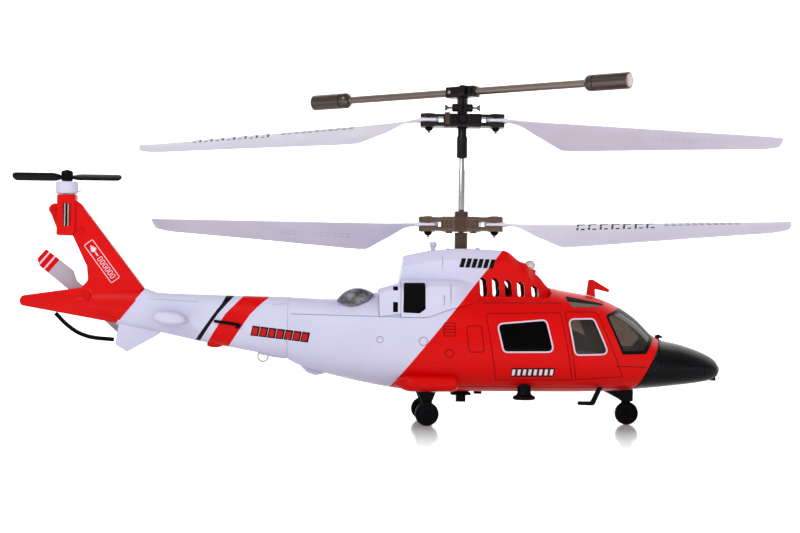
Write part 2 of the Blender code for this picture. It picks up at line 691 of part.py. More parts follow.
def nose_gear():
    x = NOSE_WHEEL_X
    leg = [(61.4, 12.5), (70.3, 12.5), (69.8, 7.2), (69.0, 6.9), (69.0, 2.6), (66.8, 2.6), (66.8, 7.0)]
    strut = add_object("nose_strut", prism(leg, 1.6, 2.9), black())
    block = [(62.0, 12.5), (70.3, 12.5), (69.8, 7.4), (67.4, 7.4)]
    join(strut, prism(block, -1.6, 2.0))
    join(strut, cylinder(AXLE_RADIUS, -1.5, 2.2, (x, 0, AXLE_Z), "y", 12))
    cut(strut, body_solid(-0.2, [56, 61, 64, 67.5, 71, 75, 78]))
    wheel("nose_wheel", x, 0.0)


# ---- Drive train -------------------------------------------------------------------
def gear_outline(teeth, module, clearance=0.0):
    """Spur gear outline about the origin, with tapered teeth, the first one centred on angle 0."""
    pitch_radius = module * teeth / 2
    root = pitch_radius - 1.2 * module
    tip = pitch_radius + 0.9 * module
    step = 2 * pi / teeth
    outline = []
    for i in range(teeth):
        middle = i * step
        for radius, share in ((root, -0.34), (tip, -0.11), (tip, 0.11), (root, 0.34)):
            angle = middle + share * step - (clearance if share > 0 else -clearance) / pitch_radius
            outline.append((radius * cos(angle), radius * sin(angle)))
    return outline


def gear(name, low, bore, turn, hub_low, hub_high):
    outline = gear_outline(GEAR_TEETH, GEAR_MODULE, 0.03)
    disc = prism([(MAST_X + a, b) for a, b in outline], low, low + GEAR_THICKNESS, "z")
    disc = turn_about(disc, turn)
    made = add_object(name, disc, white(), (MAST_X, 0, low))
    join(made, cylinder(3.2, hub_low, hub_high, (MAST_X, 0, 0)))
    cut(made, cylinder(bore, 5, 60, (MAST_X, 0, 0)))


def pinion(name, x, low, turn, shaft_top):
    outline = gear_outline(PINION_TEETH, GEAR_MODULE, 0.03)
    teeth = prism([(x + a, b) for a, b in outline], low - 0.4, low + GEAR_THICKNESS + 0.4, "z")
    made = add_object(name, turn_about(teeth, turn, x), material("brass", (0.6, 0.42, 0.15), 0.3, 1.0),
                      (x, 0, low))
    join(made, cylinder(0.5, low - 0.8, shaft_top, (x, 0, 0), "z", 12))


def drive_train():
    front = MAST_X + GEAR_SPACING
    rear = MAST_X - GEAR_SPACING
    half_gear_step = 180 / GEAR_TEETH
    half_pinion_step = 180 / PINION_TEETH
    hub_top = INNER_GEAR_Z + GEAR_THICKNESS + 0.6
    gear("inner_shaft_gear", INNER_GEAR_Z, INNER_SHAFT_RADIUS + 0.05, 0, INNER_GEAR_Z - 0.6, hub_top)
    gear("outer_shaft_gear", OUTER_GEAR_Z, OUTER_SHAFT_RADIUS + 0.05, half_gear_step, OUTER_GEAR_Z,
         OUTER_GEAR_Z + GEAR_THICKNESS + 0.6)
    # Each pinion has a tooth pointing at the mast when its gear has a space there.
    pinion("rear_pinion", rear, INNER_GEAR_Z, half_pinion_step, 23.3)
    pinion("front_pinion", front, OUTER_GEAR_Z, 180, 23.3)
    for name, x in (("rear_motor", rear), ("front_motor", front)):
        can = [(0, 23.6), (1.2, 23.6), (1.2, 24.0), (3.6, 24.0), (4.1, 24.5), (4.1, 35.6), (3.6, 36.1), (0, 36.1)]
        add_object(name, turned(can, (x, 0, 0)), steel())
    centre = (MAST_X, 0, 0)
    tube = [(OUTER_SHAFT_BORE, 18.2), (OUTER_SHAFT_RADIUS, 18.2), (OUTER_SHAFT_RADIUS, 55.9),
            (OUTER_SHAFT_BORE, 55.9)]
    add_object("outer_shaft", turned(tube, centre), smoke(), centre)
    radius = INNER_SHAFT_RADIUS
    rod = [(0, 12.2), (radius, 12.2), (radius, 62.6), (1.05, 62.6), (1.05, 74.4), (radius, 74.4),
           (radius, 84.0), (0, 84.0)]
    add_object("inner_shaft", turned(rod, centre, "z", 20), steel(), centre)
    ring = [(OUTER_SHAFT_RADIUS + FIT, 44.7), (3.4, 44.7), (3.4, 46.4), (OUTER_SHAFT_RADIUS + FIT, 46.4)]
    add_object("shaft_bearing", turned(ring, centre), steel())


def main_frame():
    arch = [(-13.0, 13.2), (13.0, 13.2), (13.0, 23.2), (7.4, 23.2), (7.4, 44.4), (-7.4, 44.4), (-7.4, 23.2),
            (-13.0, 23.2)]
    low, high = MAST_X - 3, MAST_X + 3
    frame = add_object("main_frame", prism(arch, low, high, "x"), black())
    cut(frame, box(low - 1, high + 1, -11.9, 11.9, 14.2, 22.0))
    cut(frame, box(low - 1, high + 1, -6.2, 6.2, 23.4, 43.2))
    join(frame, box(MAST_X - 18, MAST_X + 18, -7.0, 7.0, 22.0, 23.2))
    cut(frame, cylinder(INNER_SHAFT_RADIUS + FIT, 10, 20, (MAST_X, 0, 0)))
    cut(frame, cylinder(OUTER_SHAFT_RADIUS + FIT, 20, 50, (MAST_X, 0, 0)))
    for x in (MAST_X - GEAR_SPACING, MAST_X + GEAR_SPACING):
        cut(frame, cylinder(1.4, 20, 26, (x, 0, 0)))


def electronics():
    add_object("battery", box(43, 62, -7, 7, 12.2, 18.8), material("battery_wrap", (0.05, 0.12, 0.35), 0.3))
    add_object("circuit_board", box(38.5, 66, -9, 9, 20.0, 21.0), material("board", (0.02, 0.15, 0.05), 0.4))
    housing = add_object("switch_body", box(16.0, 21.6, -4, 4, 8.3, 9.0), black())
    join(housing, box(16.6, 21.0, -3.2, 3.2, 8.6, 11.8))
    cut(housing, box(17.1, 20.5, -2.6, 2.6, 7.5, 10.6))
    add_object("switch_knob", box(17.4, 20.2, -2.3, 0.3, 6.3, 10.3), black(), (18.8, -1.0, 8.0))
    socket = [(0, 12.0), (1.2, 12.0), (1.2, 8.6), (0.6, 8.6), (0.6, 11.0), (0, 11.0)]
    add_object("charge_socket", turned(socket, (23.9, 0, 0), "z", 20), black())


# ---- Rotors ----------------------------------------------------------------------------
def fork(name, level, plates, block, yaw, finish):
    """Blade holder: two plates joined by a middle block and by a pin near each end."""
    low_plate, high_plate = plates
    outline = [(-FORK_REACH, -2.2), (-FORK_REACH + 0.9, -FORK_HALF_WIDTH), (FORK_REACH - 0.9, -FORK_HALF_WIDTH),
               (FORK_REACH, -2.2), (FORK_REACH, 2.2), (FORK_REACH - 0.9, FORK_HALF_WIDTH),
               (-FORK_REACH + 0.9, FORK_HALF_WIDTH), (-FORK_REACH, 2.2)]
    body = turn_about(at_mast(prism(outline, low_plate, high_plate, "z")), yaw)
    made = add_object(name, body, finish, (MAST_X, 0, level))
    opening_low, opening_high = block
    for side in (-1, 1):
        near, far = sorted((side * HUB_HALF_LENGTH, side * 20))
        opening = at_mast(box(near, far, -8, 8, opening_low, opening_high))
        cut(made, turn_about(opening, yaw))
        pin = cylinder(0.7, opening_low - 0.3, opening_high + 0.3, (MAST_X + side * FOLD_RADIUS, 0, 0), "z", 16)
        join(made, turn_about(pin, yaw))
    return made


def lower_hub():
    made = fork("lower_hub", LOWER_ROTOR_Z, (56.2, 60.6), (57.5, 59.1), LOWER_YAW, smoke())
    join(made, cylinder(2.0, 60.0, 62.2, (MAST_X, 0, 0)))
    cut(made, cylinder(OUTER_SHAFT_BORE, 50, 65, (MAST_X, 0, 0)))


def upper_grip():
    """Blade holder that rocks about the blades' line, driven by two links."""
    z = UPPER_ROTOR_Z
    made = fork("upper_grip", z, (z - 2.1, z + 1.8), (z - 0.8, z + 0.8), UPPER_YAW, black())
    cut(made, turn_about(at_mast(box(-1.6, 1.6, -2.0, 2.0, z - 5, z + 5)), UPPER_YAW))
    for side in (-1, 1):
        near, far = sorted((side * 1.0, side * 3.4))
        cut(made, turn_about(cylinder(0.5, near, far, (MAST_X, 0, z), "x", 12), UPPER_YAW))
        low, high = sorted((side * 2.5, side * 4.9))
        stud = cylinder(0.45, low, high, (MAST_X, 0, z), "y", 12)
        low, high = sorted((side * 4.75, side * 5.1))
        knob = cylinder(1.0, low, high, (MAST_X, 0, z), "y", 16)
        join(made, turn_about(stud, UPPER_YAW), turn_about(knob, UPPER_YAW))


def rotor_head():
    """Black head on the inner shaft: sleeve, feathering pin, cross collar and flybar tongue."""
    z = UPPER_ROTOR_Z
    profile = [(0, 84.3), (0.98, 84.3), (0.98, 78.2), (1.65, 78.2), (1.65, 84.6), (1.2, 85.4), (1.2, 91.6),
               (1.35, 92.0), (1.35, 94.6), (1.0, 95.0), (0, 95.0)]
    made = add_object("rotor_head", turned(profile, (MAST_X, 0, 0), "z", 20), black(), (MAST_X, 0, z))
    yaw = UPPER_YAW
    join(made, turn_about(cylinder(0.4, -3.1, 3.1, (MAST_X, 0, z), "x", 12), yaw))
    join(made, turn_about(cylinder(1.05, -3.1, 3.1, (MAST_X, 0, 92.9), "x", 16), yaw))
    tongue = at_mast(box(-0.9, 0.9, -0.9, 0.9, 94.0, FLYBAR_Z + 0.9))
    join(made, turn_about(tongue, yaw + FLYBAR_YAW))
    eye = cylinder(0.5, -3, 3, (MAST_X, 0, FLYBAR_Z), "y", 12)
    cut(made, turn_about(eye, yaw + FLYBAR_YAW))


def flybar():
    """Stabiliser bar with end weights and a slotted hub that tilts on the head's tongue."""
    yaw = UPPER_YAW + FLYBAR_YAW
    end, thick = FLYBAR_REACH, 2.15
    profile = [(0, -end), (thick - 0.4, -end), (thick, -end + 0.4), (thick, -end + 11.0), (thick - 0.6, -end + 12),
               (FLYBAR_RADIUS, -end + 12.2), (FLYBAR_RADIUS, end - 12.2), (thick - 0.6, end - 12),
               (thick, end - 11.0), (thick, end - 0.4), (thick - 0.4, end), (0, end)]
    bar = turned(profile, (MAST_X, 0, FLYBAR_Z), "x", 16)
    made = add_object("flybar", turn_about(bar, yaw), material("flybar_metal", (0.25, 0.2, 0.17), 0.3, 0.8),
                      (MAST_X, 0, FLYBAR_Z))
    ears = [(-4.8, -1.9), (LINK_ALONG - 0.8, -2.1), (LINK_ALONG - 0.8, -4.2), (LINK_ALONG + 0.8, -4.2),
            (LINK_ALONG + 0.8, -2.1), (4.8, -1.9)]
    outline = ears + [(-x, -y) for x, y in ears]
    hub = at_mast(prism(outline, FLYBAR_Z - 1.7, FLYBAR_Z + 1.7, "z"))
    join(made, turn_about(hub, yaw))
    slot = at_mast(box(-2.0, 2.0, -1.15, 1.15, FLYBAR_Z - 3, FLYBAR_Z + 1.25))
    cut(made, turn_about(slot, yaw))
    pin = cylinder(0.4, -1.6, 1.6, (MAST_X, 0, FLYBAR_Z), "y", 12)
    join(made, turn_about(pin, yaw))


def link(name, side):
    """Push rod between a flybar ear and a stud on the grip."""
    across = radians(FLYBAR_YAW)
    a, b = side * LINK_ALONG, -side * LINK_ACROSS
    x = MAST_X + a * cos(across) - b * sin(across)
    y = a * sin(across) + b * cos(across)
    z = UPPER_ROTOR_Z
    eye = turned([(0.62, y - 0.45), (1.25, y - 0.45), (1.25, y + 0.45), (0.62, y + 0.45)], (x, 0, z), "y", 16)
    made = add_object(name, turn_about(eye, UPPER_YAW), black(), (MAST_X, 0, z))
    join(made, turn_about(box(x - 0.6, x + 0.6, y - 0.45, y + 0.45, z + 1.0, FLYBAR_Z - 2.1), UPPER_YAW))


BLADE_CHORD = [(7.0, 3.2), (7.8, 5.0), (13.0, 5.0), (16.5, 4.8), (20.0, 7.4), (24.0, 11.6), (29.0, 15.0),
               (45.0, 12.7), (62.0, 10.2), (80.0, 7.6), (91.0, 6.0), (94.3, 4.6), (95.0, 3.0)]
BLADE_LEAD = 2.5          # straight front edge, from the blade's own line


def blade_ring(reach, lead_side, pitch, droop):
    chord = dict(BLADE_CHORD)[reach]
    rise = min(max((reach - 13) / 10, 0), 1)
    twist = radians(pitch) * rise * rise * (3 - 2 * rise)
    thick = 1.1 if reach <= 13 else 0.75 - 0.25 * (reach - 13) / 82
    front = BLADE_LEAD - (0.9 if reach == 7.0 else 0)
    ring = []
    for share, level in ((0, 0.3), (0.3, 0.5), (0.65, 0.42), (1, 0.22), (1, -0.22), (0.65, -0.42),
                         (0.3, -0.5), (0, -0.3)):
        if reach <= 13:
            level = 0.5 if level > 0 else -0.5
        back = share * chord
        camber = 0.045 * chord * sin(pi * share) * rise
        up = level * thick + camber
        y = front - back * cos(twist) + up * sin(twist)
        z = -back * sin(twist) + up * cos(twist) - tan(radians(droop)) * max(reach - 12, 0)
        ring.append((reach, lead_side * y, z))
    return ring


def blade(name, level, yaw, lead_side, pitch, droop):
    """Twisted blade with a hole for its fold pin; lead_side is the side its front edge is on."""
    rings = [blade_ring(reach, lead_side, pitch, droop) for reach, _ in BLADE_CHORD]
    rings = [[(x, y, z + level) for x, y, z in ring] for ring in rings]
    pin_x = MAST_X + FOLD_RADIUS * cos(radians(yaw))
    pin_y = FOLD_RADIUS * sin(radians(yaw))
    made = add_object(name, turn_about(at_mast(loft(rings)), yaw), blade_white(), (pin_x, pin_y, level))
    hole = cylinder(0.7 + FIT, level - 3, level + 3, (MAST_X + FOLD_RADIUS, 0, 0), "z", 16)
    cut(made, turn_about(hole, yaw))


def rotors():
    lower_hub()
    upper_grip()
    rotor_head()
    flybar()
    link("link_right", 1)
    link("link_left", -1)
    blade("upper_blade_front", UPPER_ROTOR_Z, UPPER_YAW, -1, 24, 2.9)
    blade("upper_blade_rear", UPPER_ROTOR_Z, UPPER_YAW + 180, -1, 24, 5.7)
    blade("lower_blade_front", LOWER_ROTOR_Z, LOWER_YAW, 1, 27, -0.9)
    blade("lower_blade_rear", LOWER_ROTOR_Z, LOWER_YAW + 180, 1, 27, -0.9)


def build():
    clear_scene()
    for side_name, side in (("right", -1), ("left", 1)):
        fuselage_shell(f"fuselage_{side_name}", side)
        glazing(f"cabin_window_{side_name}", side, CABIN_WINDOW, 26, 46, smoke())
        glazing(f"door_window_{side_name}", side, DOOR_WINDOW, 46, 62, smoke())
        glazing(f"roof_window_{side_name}", side, ROOF_WINDOW, 46, 62, smoke())
        intake(f"intake_{side_name}", side)
        exhaust(f"exhaust_{side_name}", side)
        stabiliser(f"stabiliser_{side_name}", side)
        tail_fin(f"tail_fin_{side_name}", side)
        main_gear(side_name, side)
    engine_cowling()
    windscreen_pane()
    nose_cone()
    tail_boom()
    tail_drive()
    side_rotor()
    tail_hoop()
    fittings()
    nose_gear()
    main_frame()
    drive_train()
    electronics()
    rotors()


build()
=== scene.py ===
"""Looks of a coaxial remote control helicopter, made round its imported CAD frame.

Lengths are millimetres and angles degrees; MM turns lengths into metres where a mesh is made.
+X points to the nose, +Z up, and the port side is +Y. Joint places come from the frame.
"""

import json
from math import acos, asin, atan2, copysign, cos, degrees, pi, radians, sin, tan

import bmesh
import bpy
from mathutils import Matrix, Vector

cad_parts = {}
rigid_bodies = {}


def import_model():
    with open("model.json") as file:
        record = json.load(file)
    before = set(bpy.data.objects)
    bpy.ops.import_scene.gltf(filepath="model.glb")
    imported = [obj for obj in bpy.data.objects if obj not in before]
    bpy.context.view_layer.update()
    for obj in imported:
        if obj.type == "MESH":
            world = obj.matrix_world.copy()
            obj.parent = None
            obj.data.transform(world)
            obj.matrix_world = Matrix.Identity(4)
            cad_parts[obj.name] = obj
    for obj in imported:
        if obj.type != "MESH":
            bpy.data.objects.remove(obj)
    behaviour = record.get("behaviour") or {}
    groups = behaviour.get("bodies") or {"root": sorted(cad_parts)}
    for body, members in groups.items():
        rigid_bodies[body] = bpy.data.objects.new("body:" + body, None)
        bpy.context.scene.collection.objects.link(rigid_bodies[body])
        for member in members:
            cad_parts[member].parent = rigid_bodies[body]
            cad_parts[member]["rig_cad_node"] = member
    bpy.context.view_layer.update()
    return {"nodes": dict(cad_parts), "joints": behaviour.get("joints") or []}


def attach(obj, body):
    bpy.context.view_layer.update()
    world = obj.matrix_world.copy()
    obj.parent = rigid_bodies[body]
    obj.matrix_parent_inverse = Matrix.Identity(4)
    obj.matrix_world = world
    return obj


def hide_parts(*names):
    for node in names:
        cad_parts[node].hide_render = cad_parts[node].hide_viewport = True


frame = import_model()
MM = 0.001


# ---- Places read from the frame ----
def pivot(joint):
    """A point on a joint's axis."""
    return Vector(next(j["pos_m"] for j in frame["joints"] if j["name"] == joint)) / MM


MAST_X = pivot("upper_rotor_spin").x
UPPER_Z = pivot("upper_front_fold").z
LOWER_Z = pivot("lower_front_fold").z
FLYBAR_Z = pivot("flybar_tilt").z
TAIL_AXIS = pivot("tail_prop_spin")
SIDE_AXIS = pivot("side_rotor_spin")


def yaw_of(joint):
    """Direction of a fold pin from the mast."""
    place = pivot(joint)
    return degrees(atan2(place.y, place.x - MAST_X))


UPPER_YAW = yaw_of("upper_front_fold")
LOWER_YAW = yaw_of("lower_front_fold")
FOLD_RADIUS = Vector((pivot("upper_front_fold").x - MAST_X, pivot("upper_front_fold").y)).length

# ---- Driving dimensions ----
GAP = 0.3                 # joint line between mouldings
WALL = 1.0                # thickness of the moulded shells
LINE_WIDTH = 0.26         # moulded panel lines
LINE_DEPTH = 0.22
PRINT_RISE = 0.03         # printed marks stand this proud

# Outline of the body, as (along, height) or (along, half width).
BODY_TOP = [(-32, 36.4), (-20, 36.0), (-7.5, 38.0), (0, 38.8), (12, 39.3), (40, 39.4), (44.3, 40.0),
            (48, 39.3), (54.6, 38.2), (59, 37.1), (65.5, 34.3), (70, 31.2), (75, 26.4), (77.3, 25.2),
            (83.7, 23.7), (91.3, 20.9), (93.9, 19.2), (95.1, 17.4)]
BODY_BOTTOM = [(-32, 18.2), (-29, 16.6), (-20, 14.0), (-2, 10.4), (7, 9.4), (50, 9.6), (60, 9.9), (70, 10.6),
               (82, 11.8), (92, 13.3), (94.4, 14.5), (95.1, 15.8)]
BODY_WIDTH = [(-32, 6.4), (-20, 10.5), (-7, 14.6), (7, 17.4), (25, 18.4), (48, 18.0), (60, 16.6),
              (70, 13.6), (80, 10.4), (88, 7.4), (94, 3.0), (95.1, 1.2)]
BODY_WAIST = [(-32, 27.5), (-7, 24.5), (7, 22.5), (48, 22.0), (70, 19.0), (95.1, 16.8)]
UPPER_ROUND = [(60, 2.4), (76, 1.9), (95.1, 1.6)]    # superellipse power above the waist
LOWER_ROUND = 2.8
NOSE_JOINT = ((69.0, 10.8), (76.8, 25.3))

COWL_FROM = 1.6
COWL_TO = 44.1
COWL_FLOOR = 36.9
COWL_TOP = [(1.6, 48.6), (9, 50.2), (18.5, 51.0), (31.2, 50.7), (32.6, 50.0), (35.9, 47.5), (37.2, 47.2),
            (39.6, 44.5), (41.2, 43.4), (43.6, 40.4), (44.1, 40.0)]
COWL_WIDTH = [(1.6, 9.6), (10, 10.6), (18, 10.4), (23, 9.2), (28, 7.4), (34, 6.3), (40, 5.7), (44.1, 5.2)]
COWL_LEAN = 0.19          # the back wall slopes down and back
COWL_SLOTS = [(24.7, 42.7), (28.4, 42.5), (32.1, 42.1), (35.8, 41.6), (40.0, 40.5)]
SLOT_WIDTH = 2.05
SLOT_FLOOR = 37.2
POD_FROM = 0.6
POD_BLEND = 14.8          # from here the pod tapers into the body
POD_TO = 23.2
POD_BOTTOM = [(0.6, 30.9), (7.0, 30.9), (13.8, 33.0), (23.2, 35.6)]
POD_GAP = 0.1

SPONSON_CENTRE = (13.4, 12.1)
SPONSON_HALF = (5.4, 2.45)
SPONSON_SIZE = [(-0.6, 0.3), (0.6, 0.6), (2.0, 0.88), (4, 1.0), (15.2, 0.97), (16.3, 0.88), (17.0, 0.66),
                (17.2, 0.35)]
BELLY_HUMP = [(-30.5, 18.5), (-28.4, 16.5), (-26.4, 14.4), (-24.0, 13.5), (-22.0, 13.9), (-20.4, 14.7),
              (-19.6, 18.5)]

BOOM_TOP = [(-83, 41.5), (-74, 38.6), (-70, 37.2), (-57, 36.8), (-32.06, 36.4)]
BOOM_BOTTOM = [(-83, 27.9), (-69, 25.5), (-59, 23.4), (-43, 20.4), (-32.06, 18.4)]
BOOM_WIDTH = [(-83, 2.9), (-70, 3.7), (-50, 5.2), (-32.06, 6.35)]
FIN_JOINT = ((-82.1, 27.8), (-73.2, 38.5))

CABIN_WINDOW = [(28.1, 29.2), (41.9, 30.5), (44.0, 21.6), (29.9, 21.4)]
DOOR_WINDOW = [(48.6, 30.8), (55.8, 31.0), (59.9, 21.1), (50.4, 20.8)]
WINDSCREEN = [(59.5, 32.1), (65.2, 34.6), (66.0, 42.0), (78.0, 42.0), (76.2, 27.6), (74.0, 25.0),
              (71.4, 21.1), (64.2, 20.9)]
ROOF_WINDOW = [(47.7, 37.7), (60.0, 35.3), (57.6, 34.4), (49.9, 34.2)]
PAINT_EDGE = ((-1.8, 11.3), (28.3, 48.1))            # white behind, red in front

BOOM_ROUND = 2.4
STUB_LEAN = radians(7)
FIN_OUTLINE = [(-94.9, 64.3), (-92.9, 62.8), (-74.3, 38.6), (-82.4, 28.2), (-109.9, 33.0), (-110.4, 34.6),
               (-109.5, 35.9), (-92.4, 38.4), (-90.5, 40.6), (-90.9, 44.6), (-95.2, 53.6)]
HOLDER_OUTLINE = [(-99.8, 53.6), (-95.1, 53.6), (-94.4, 54.6), (-94.4, 65.5), (-99.8, 65.5)]
LUG_WEB = [(-101.8, 60.2), (-99.9, 55.6), (-97.5, 55.6), (-97.5, 62.9), (-101.0, 62.9)]
SIDE_ROTOR_ANGLE = 139.8
FLYBAR_YAW = -34.0        # from the upper blades, about the mast
LINK_ALONG = 2.1
LINK_ACROSS = 3.3
BLADE_CHORD = [(7.0, 3.2), (7.8, 5.0), (13.0, 5.0), (16.5, 4.7), (20.0, 6.3), (24.0, 9.4), (28.0, 13.4),
               (31.0, 15.8), (45.0, 14.0), (62.0, 11.4), (80.0, 8.8), (95.0, 6.8)]
BLADE_REACH = 95.0
BLADE_FLAT = 13.0         # flat root up to here
TWIST_LENGTH = 10.0       # the twist builds up over this
DROOP_FROM = 12.0
ROOT_THICK = 1.1
BLADE_THICK = 0.75
BLADE_THINNING = 0.25     # lost towards the tip
TIP_ROUND = 1.3
BLADE_LEAD = 2.5          # straight front edge, from the blade's own line
WHEEL_RADIUS = 3.4
AXLE_Z = pivot("nose_wheel_roll").z
MAIN_WHEEL = (8.3, 14.6)  # along and across

RED = (0.60, 0.0015, 0.0012)
WHITE = (0.575, 0.56, 0.73)
BLACK = (0.003, 0.0032, 0.0045)

WORLD_GLOW = 0.42
BACKDROP_GLOW = 1.15
FLOOR_TONE = 0.75
FLOOR_NEAR = (0.5, 0.1)   # gloss and glow of the floor under the wheels; the low glow there is painted shade
FLOOR_FAR = (0.0, 0.75)   # and in front of them; the high glow there is painted light
FLOOR_FADE = (-0.022, -0.105)                        # where the floor changes, in metres across
# Name, place and diameter in metres, power in watts, and whether it shows in glossy surfaces
LIGHTS = [("key", (-0.5, -0.8, 0.7), 0.7, 4.9, True), ("fill", (0.6, -0.9, 0.35), 0.9, 3.4, False)]
LIGHT_AIM = (0, 0, 0.04)
CAMERA_LENS = 77.95
CAMERA_PLACE = (-15.41, -509.66, 32.40)
CAMERA_TURN = (-1.8, -1.5, 0.7)                      # yaw, rise and tilt


# ---- Curves and outlines ----
def smooth_value(points, x):
    """Value at x on a smooth curve through the points, without overshoot."""
    if x <= points[0][0]:
        return points[0][1]
    if x >= points[-1][0]:
        return points[-1][1]
    index = next(i for i in range(len(points) - 1) if x <= points[i + 1][0])
    slopes = [(b[1] - a[1]) / (b[0] - a[0]) for a, b in zip(points, points[1:])]

    def tangent(i):
        if i in (0, len(points) - 1):
            return slopes[min(i, len(slopes) - 1)]
        before, after = slopes[i - 1], slopes[i]
        return 2 * before * after / (before + after) if before * after > 0 else 0.0

    (x0, y0), (x1, y1) = points[index], points[index + 1]
    span = x1 - x0
    t = (x - x0) / span
    return ((2 * t**3 - 3 * t**2 + 1) * y0 + (t**3 - 2 * t**2 + t) * span * tangent(index)
            + (3 * t**2 - 2 * t**3) * y1 + (t**3 - t**2) * span * tangent(index + 1))


def eased(share):
    """Share from 0 to 1 that starts and ends gently."""
    share = min(max(share, 0), 1)
    return share * share * (3 - 2 * share)


def spaced(low, high, step):
    """Evenly spread values from low to high, about a step apart."""
    count = max(round((high - low) / step), 1)
    return [low + (high - low) * i / count for i in range(count + 1)]


def fillet(outline, radius, steps=5, skip=()):
    """Closed outline with each corner, but those skipped, replaced by an arc."""
    result = []
    for i, here in enumerate(outline):
        here = Vector(here)
        if i in skip:
            result.append(tuple(here))
            continue
        to_before = Vector(outline[i - 1]) - here
        to_after = Vector(outline[(i + 1) % len(outline)]) - here
        reach = to_before.normalized().dot(to_after.normalized())
        half = acos(max(min(reach, 1), -1)) / 2
        cut_back = min(max(radius / tan(half), 0.05), to_before.length * 0.49, to_after.length * 0.49)
        start = here + to_before.normalized() * cut_back
        end = here + to_after.normalized() * cut_back
        for k in range(steps + 1):
            t = k / steps
            result.append(tuple(start * (1 - t) ** 2 + here * 2 * t * (1 - t) + end * t**2))
    return result


def offset(outline, distance):
    """Closed outline moved outwards by distance, along each corner's mitre."""
    area = sum(a[0] * b[1] - b[0] * a[1] for a, b in zip(outline, outline[1:] + outline[:1]))
    turn = 1 if area > 0 else -1
    result = []
    for i, here in enumerate(outline):
        before, after = Vector(outline[i - 1]), Vector(outline[(i + 1) % len(outline)])
        first = (Vector(here) - before).normalized()
        second = (after - Vector(here)).normalized()
        normals = [Vector((edge.y, -edge.x)) * turn for edge in (first, second)]
        middle = (normals[0] + normals[1]).normalized()
        result.append(tuple(Vector(here) + middle * distance / max(middle.dot(normals[0]), 0.5)))
    return result


def resampled(path, step, closed=False):
    """Path with points added so that none are further apart than step."""
    ends = path + path[:1] if closed else path
    result = []
    for a, b in zip(ends, ends[1:]):
        a, b = Vector(a), Vector(b)
        count = max(int((b - a).length / step), 1)
        result += [tuple(a.lerp(b, i / count)) for i in range(count)]
    return result if closed else result + [tuple(ends[-1])]


def directed(path, closed):
    """Each point of a path with the path's direction there."""
    for i, point in enumerate(path):
        before = Vector(path[i - 1] if closed or i else path[0])
        after = Vector(path[(i + 1) % len(path)] if closed or i < len(path) - 1 else path[-1])
        yield point, (after - before).normalized()


def circle(centre, radius, count=24):
    """Closed round outline."""
    return [(centre[0] + radius * cos(2 * pi * i / count), centre[1] + radius * sin(2 * pi * i / count))
            for i in range(count)]


# ---- Solids, as (points, faces) ----
def loft(rings, closed=False):
    """Solid through closed rings of equal length, with flat ends, or closed on itself."""
    count = len(rings[0])
    points = [tuple(p) for ring in rings for p in ring]
    faces = []
    if not closed:
        faces.append(tuple(range(count)))
        faces.append(tuple((len(rings) - 1) * count + i for i in reversed(range(count))))
    for r in range(len(rings) if closed else len(rings) - 1):
        s = (r + 1) % len(rings)
        for i in range(count):
            j = (i + 1) % count
            faces.append((r * count + i, r * count + j, s * count + j, s * count + i))
    return points, faces


def merged(*solids):
    """Separate solids held in one mesh."""
    points, faces = [], []
    for more_points, more_faces in solids:
        shift = len(points)
        points += more_points
        faces += [tuple(i + shift for i in face) for face in more_faces]
    return points, faces


def prism(outline, low, high, axis="y", bevel=0.0):
    """Flat outline pushed from low to high along an axis, with rounded rims where bevel is given."""
    place = {"x": lambda a, b, h: (h, a, b), "y": lambda a, b, h: (a, h, b), "z": lambda a, b, h: (a, b, h)}
    levels = [(low, 0.0), (high, 0.0)]
    if bevel:
        quarter = [(1 - cos(pi / 2 * k / 3), 1 - sin(pi / 2 * k / 3)) for k in range(4)]
        levels = [(low + bevel * up, bevel * back) for up, back in quarter]
        levels += [(high - bevel * up, bevel * back) for up, back in reversed(quarter)]
    rings = []
    for height, back in levels:
        ring = offset(outline, -back) if back else outline
        rings.append([place[axis](a, b, height) for a, b in ring])
    return loft(rings)


def box(x0, x1, y0, y1, z0, z1, bevel=0.0):
    """Block between two corners, with rounded rims where bevel is given."""
    return prism([(x0, y0), (x1, y0), (x1, y1), (x0, y1)], z0, z1, "z", bevel)


def turned(profile, centre=(0, 0, 0), axis="z", segments=40):
    """Profile of (radius, height) turned about an axis; ends at radius 0 make a solid, others a ring."""
    swap = {"z": lambda u, v, h: (u, v, h), "y": lambda u, v, h: (v, h, u), "x": lambda u, v, h: (h, u, v)}
    solid = profile[0][0] == 0
    inner = profile[1:-1] if solid else profile
    rings = []
    for radius, height in inner:
        ring = []
        for i in range(segments):
            angle = 2 * pi * i / segments
            turn = swap[axis](radius * cos(angle), radius * sin(angle), height)
            ring.append(tuple(c + o for c, o in zip(centre, turn)))
        rings.append(ring)
    return loft(rings, closed=not solid)


def cylinder(radius, low, high, centre=(0, 0, 0), axis="z", segments=40):
    """Round rod from low to high along an axis."""
    return turned([(0, low), (radius, low), (radius, high), (0, high)], centre, axis, segments)


def tube_along(path, radius, sides=14, closed=False):
    """Round rod along a path in space."""
    rings = []
    up = Vector((0.13, 0.07, 1.0))
    for i, (point, along) in enumerate(directed(path, closed)):
        side = along.cross(up).normalized()
        up = side.cross(along)
        size = radius[i] if isinstance(radius, list) else radius
        angles = [2 * pi * k / sides for k in range(sides)]
        spokes = [cos(angle) * side + sin(angle) * up for angle in angles]
        rings.append([tuple(Vector(point) + size * spoke) for spoke in spokes])
    return loft(rings, closed)


def turn_about(solid, angle, x=MAST_X, y=0.0, axis="Z", z=0.0):
    """The same solid turned about an axis through (x, y, z)."""
    centre = Vector((x, y, z))
    matrix = Matrix.Rotation(radians(angle), 3, axis)
    return [tuple(matrix @ (Vector(p) - centre) + centre) for p in solid[0]], solid[1]


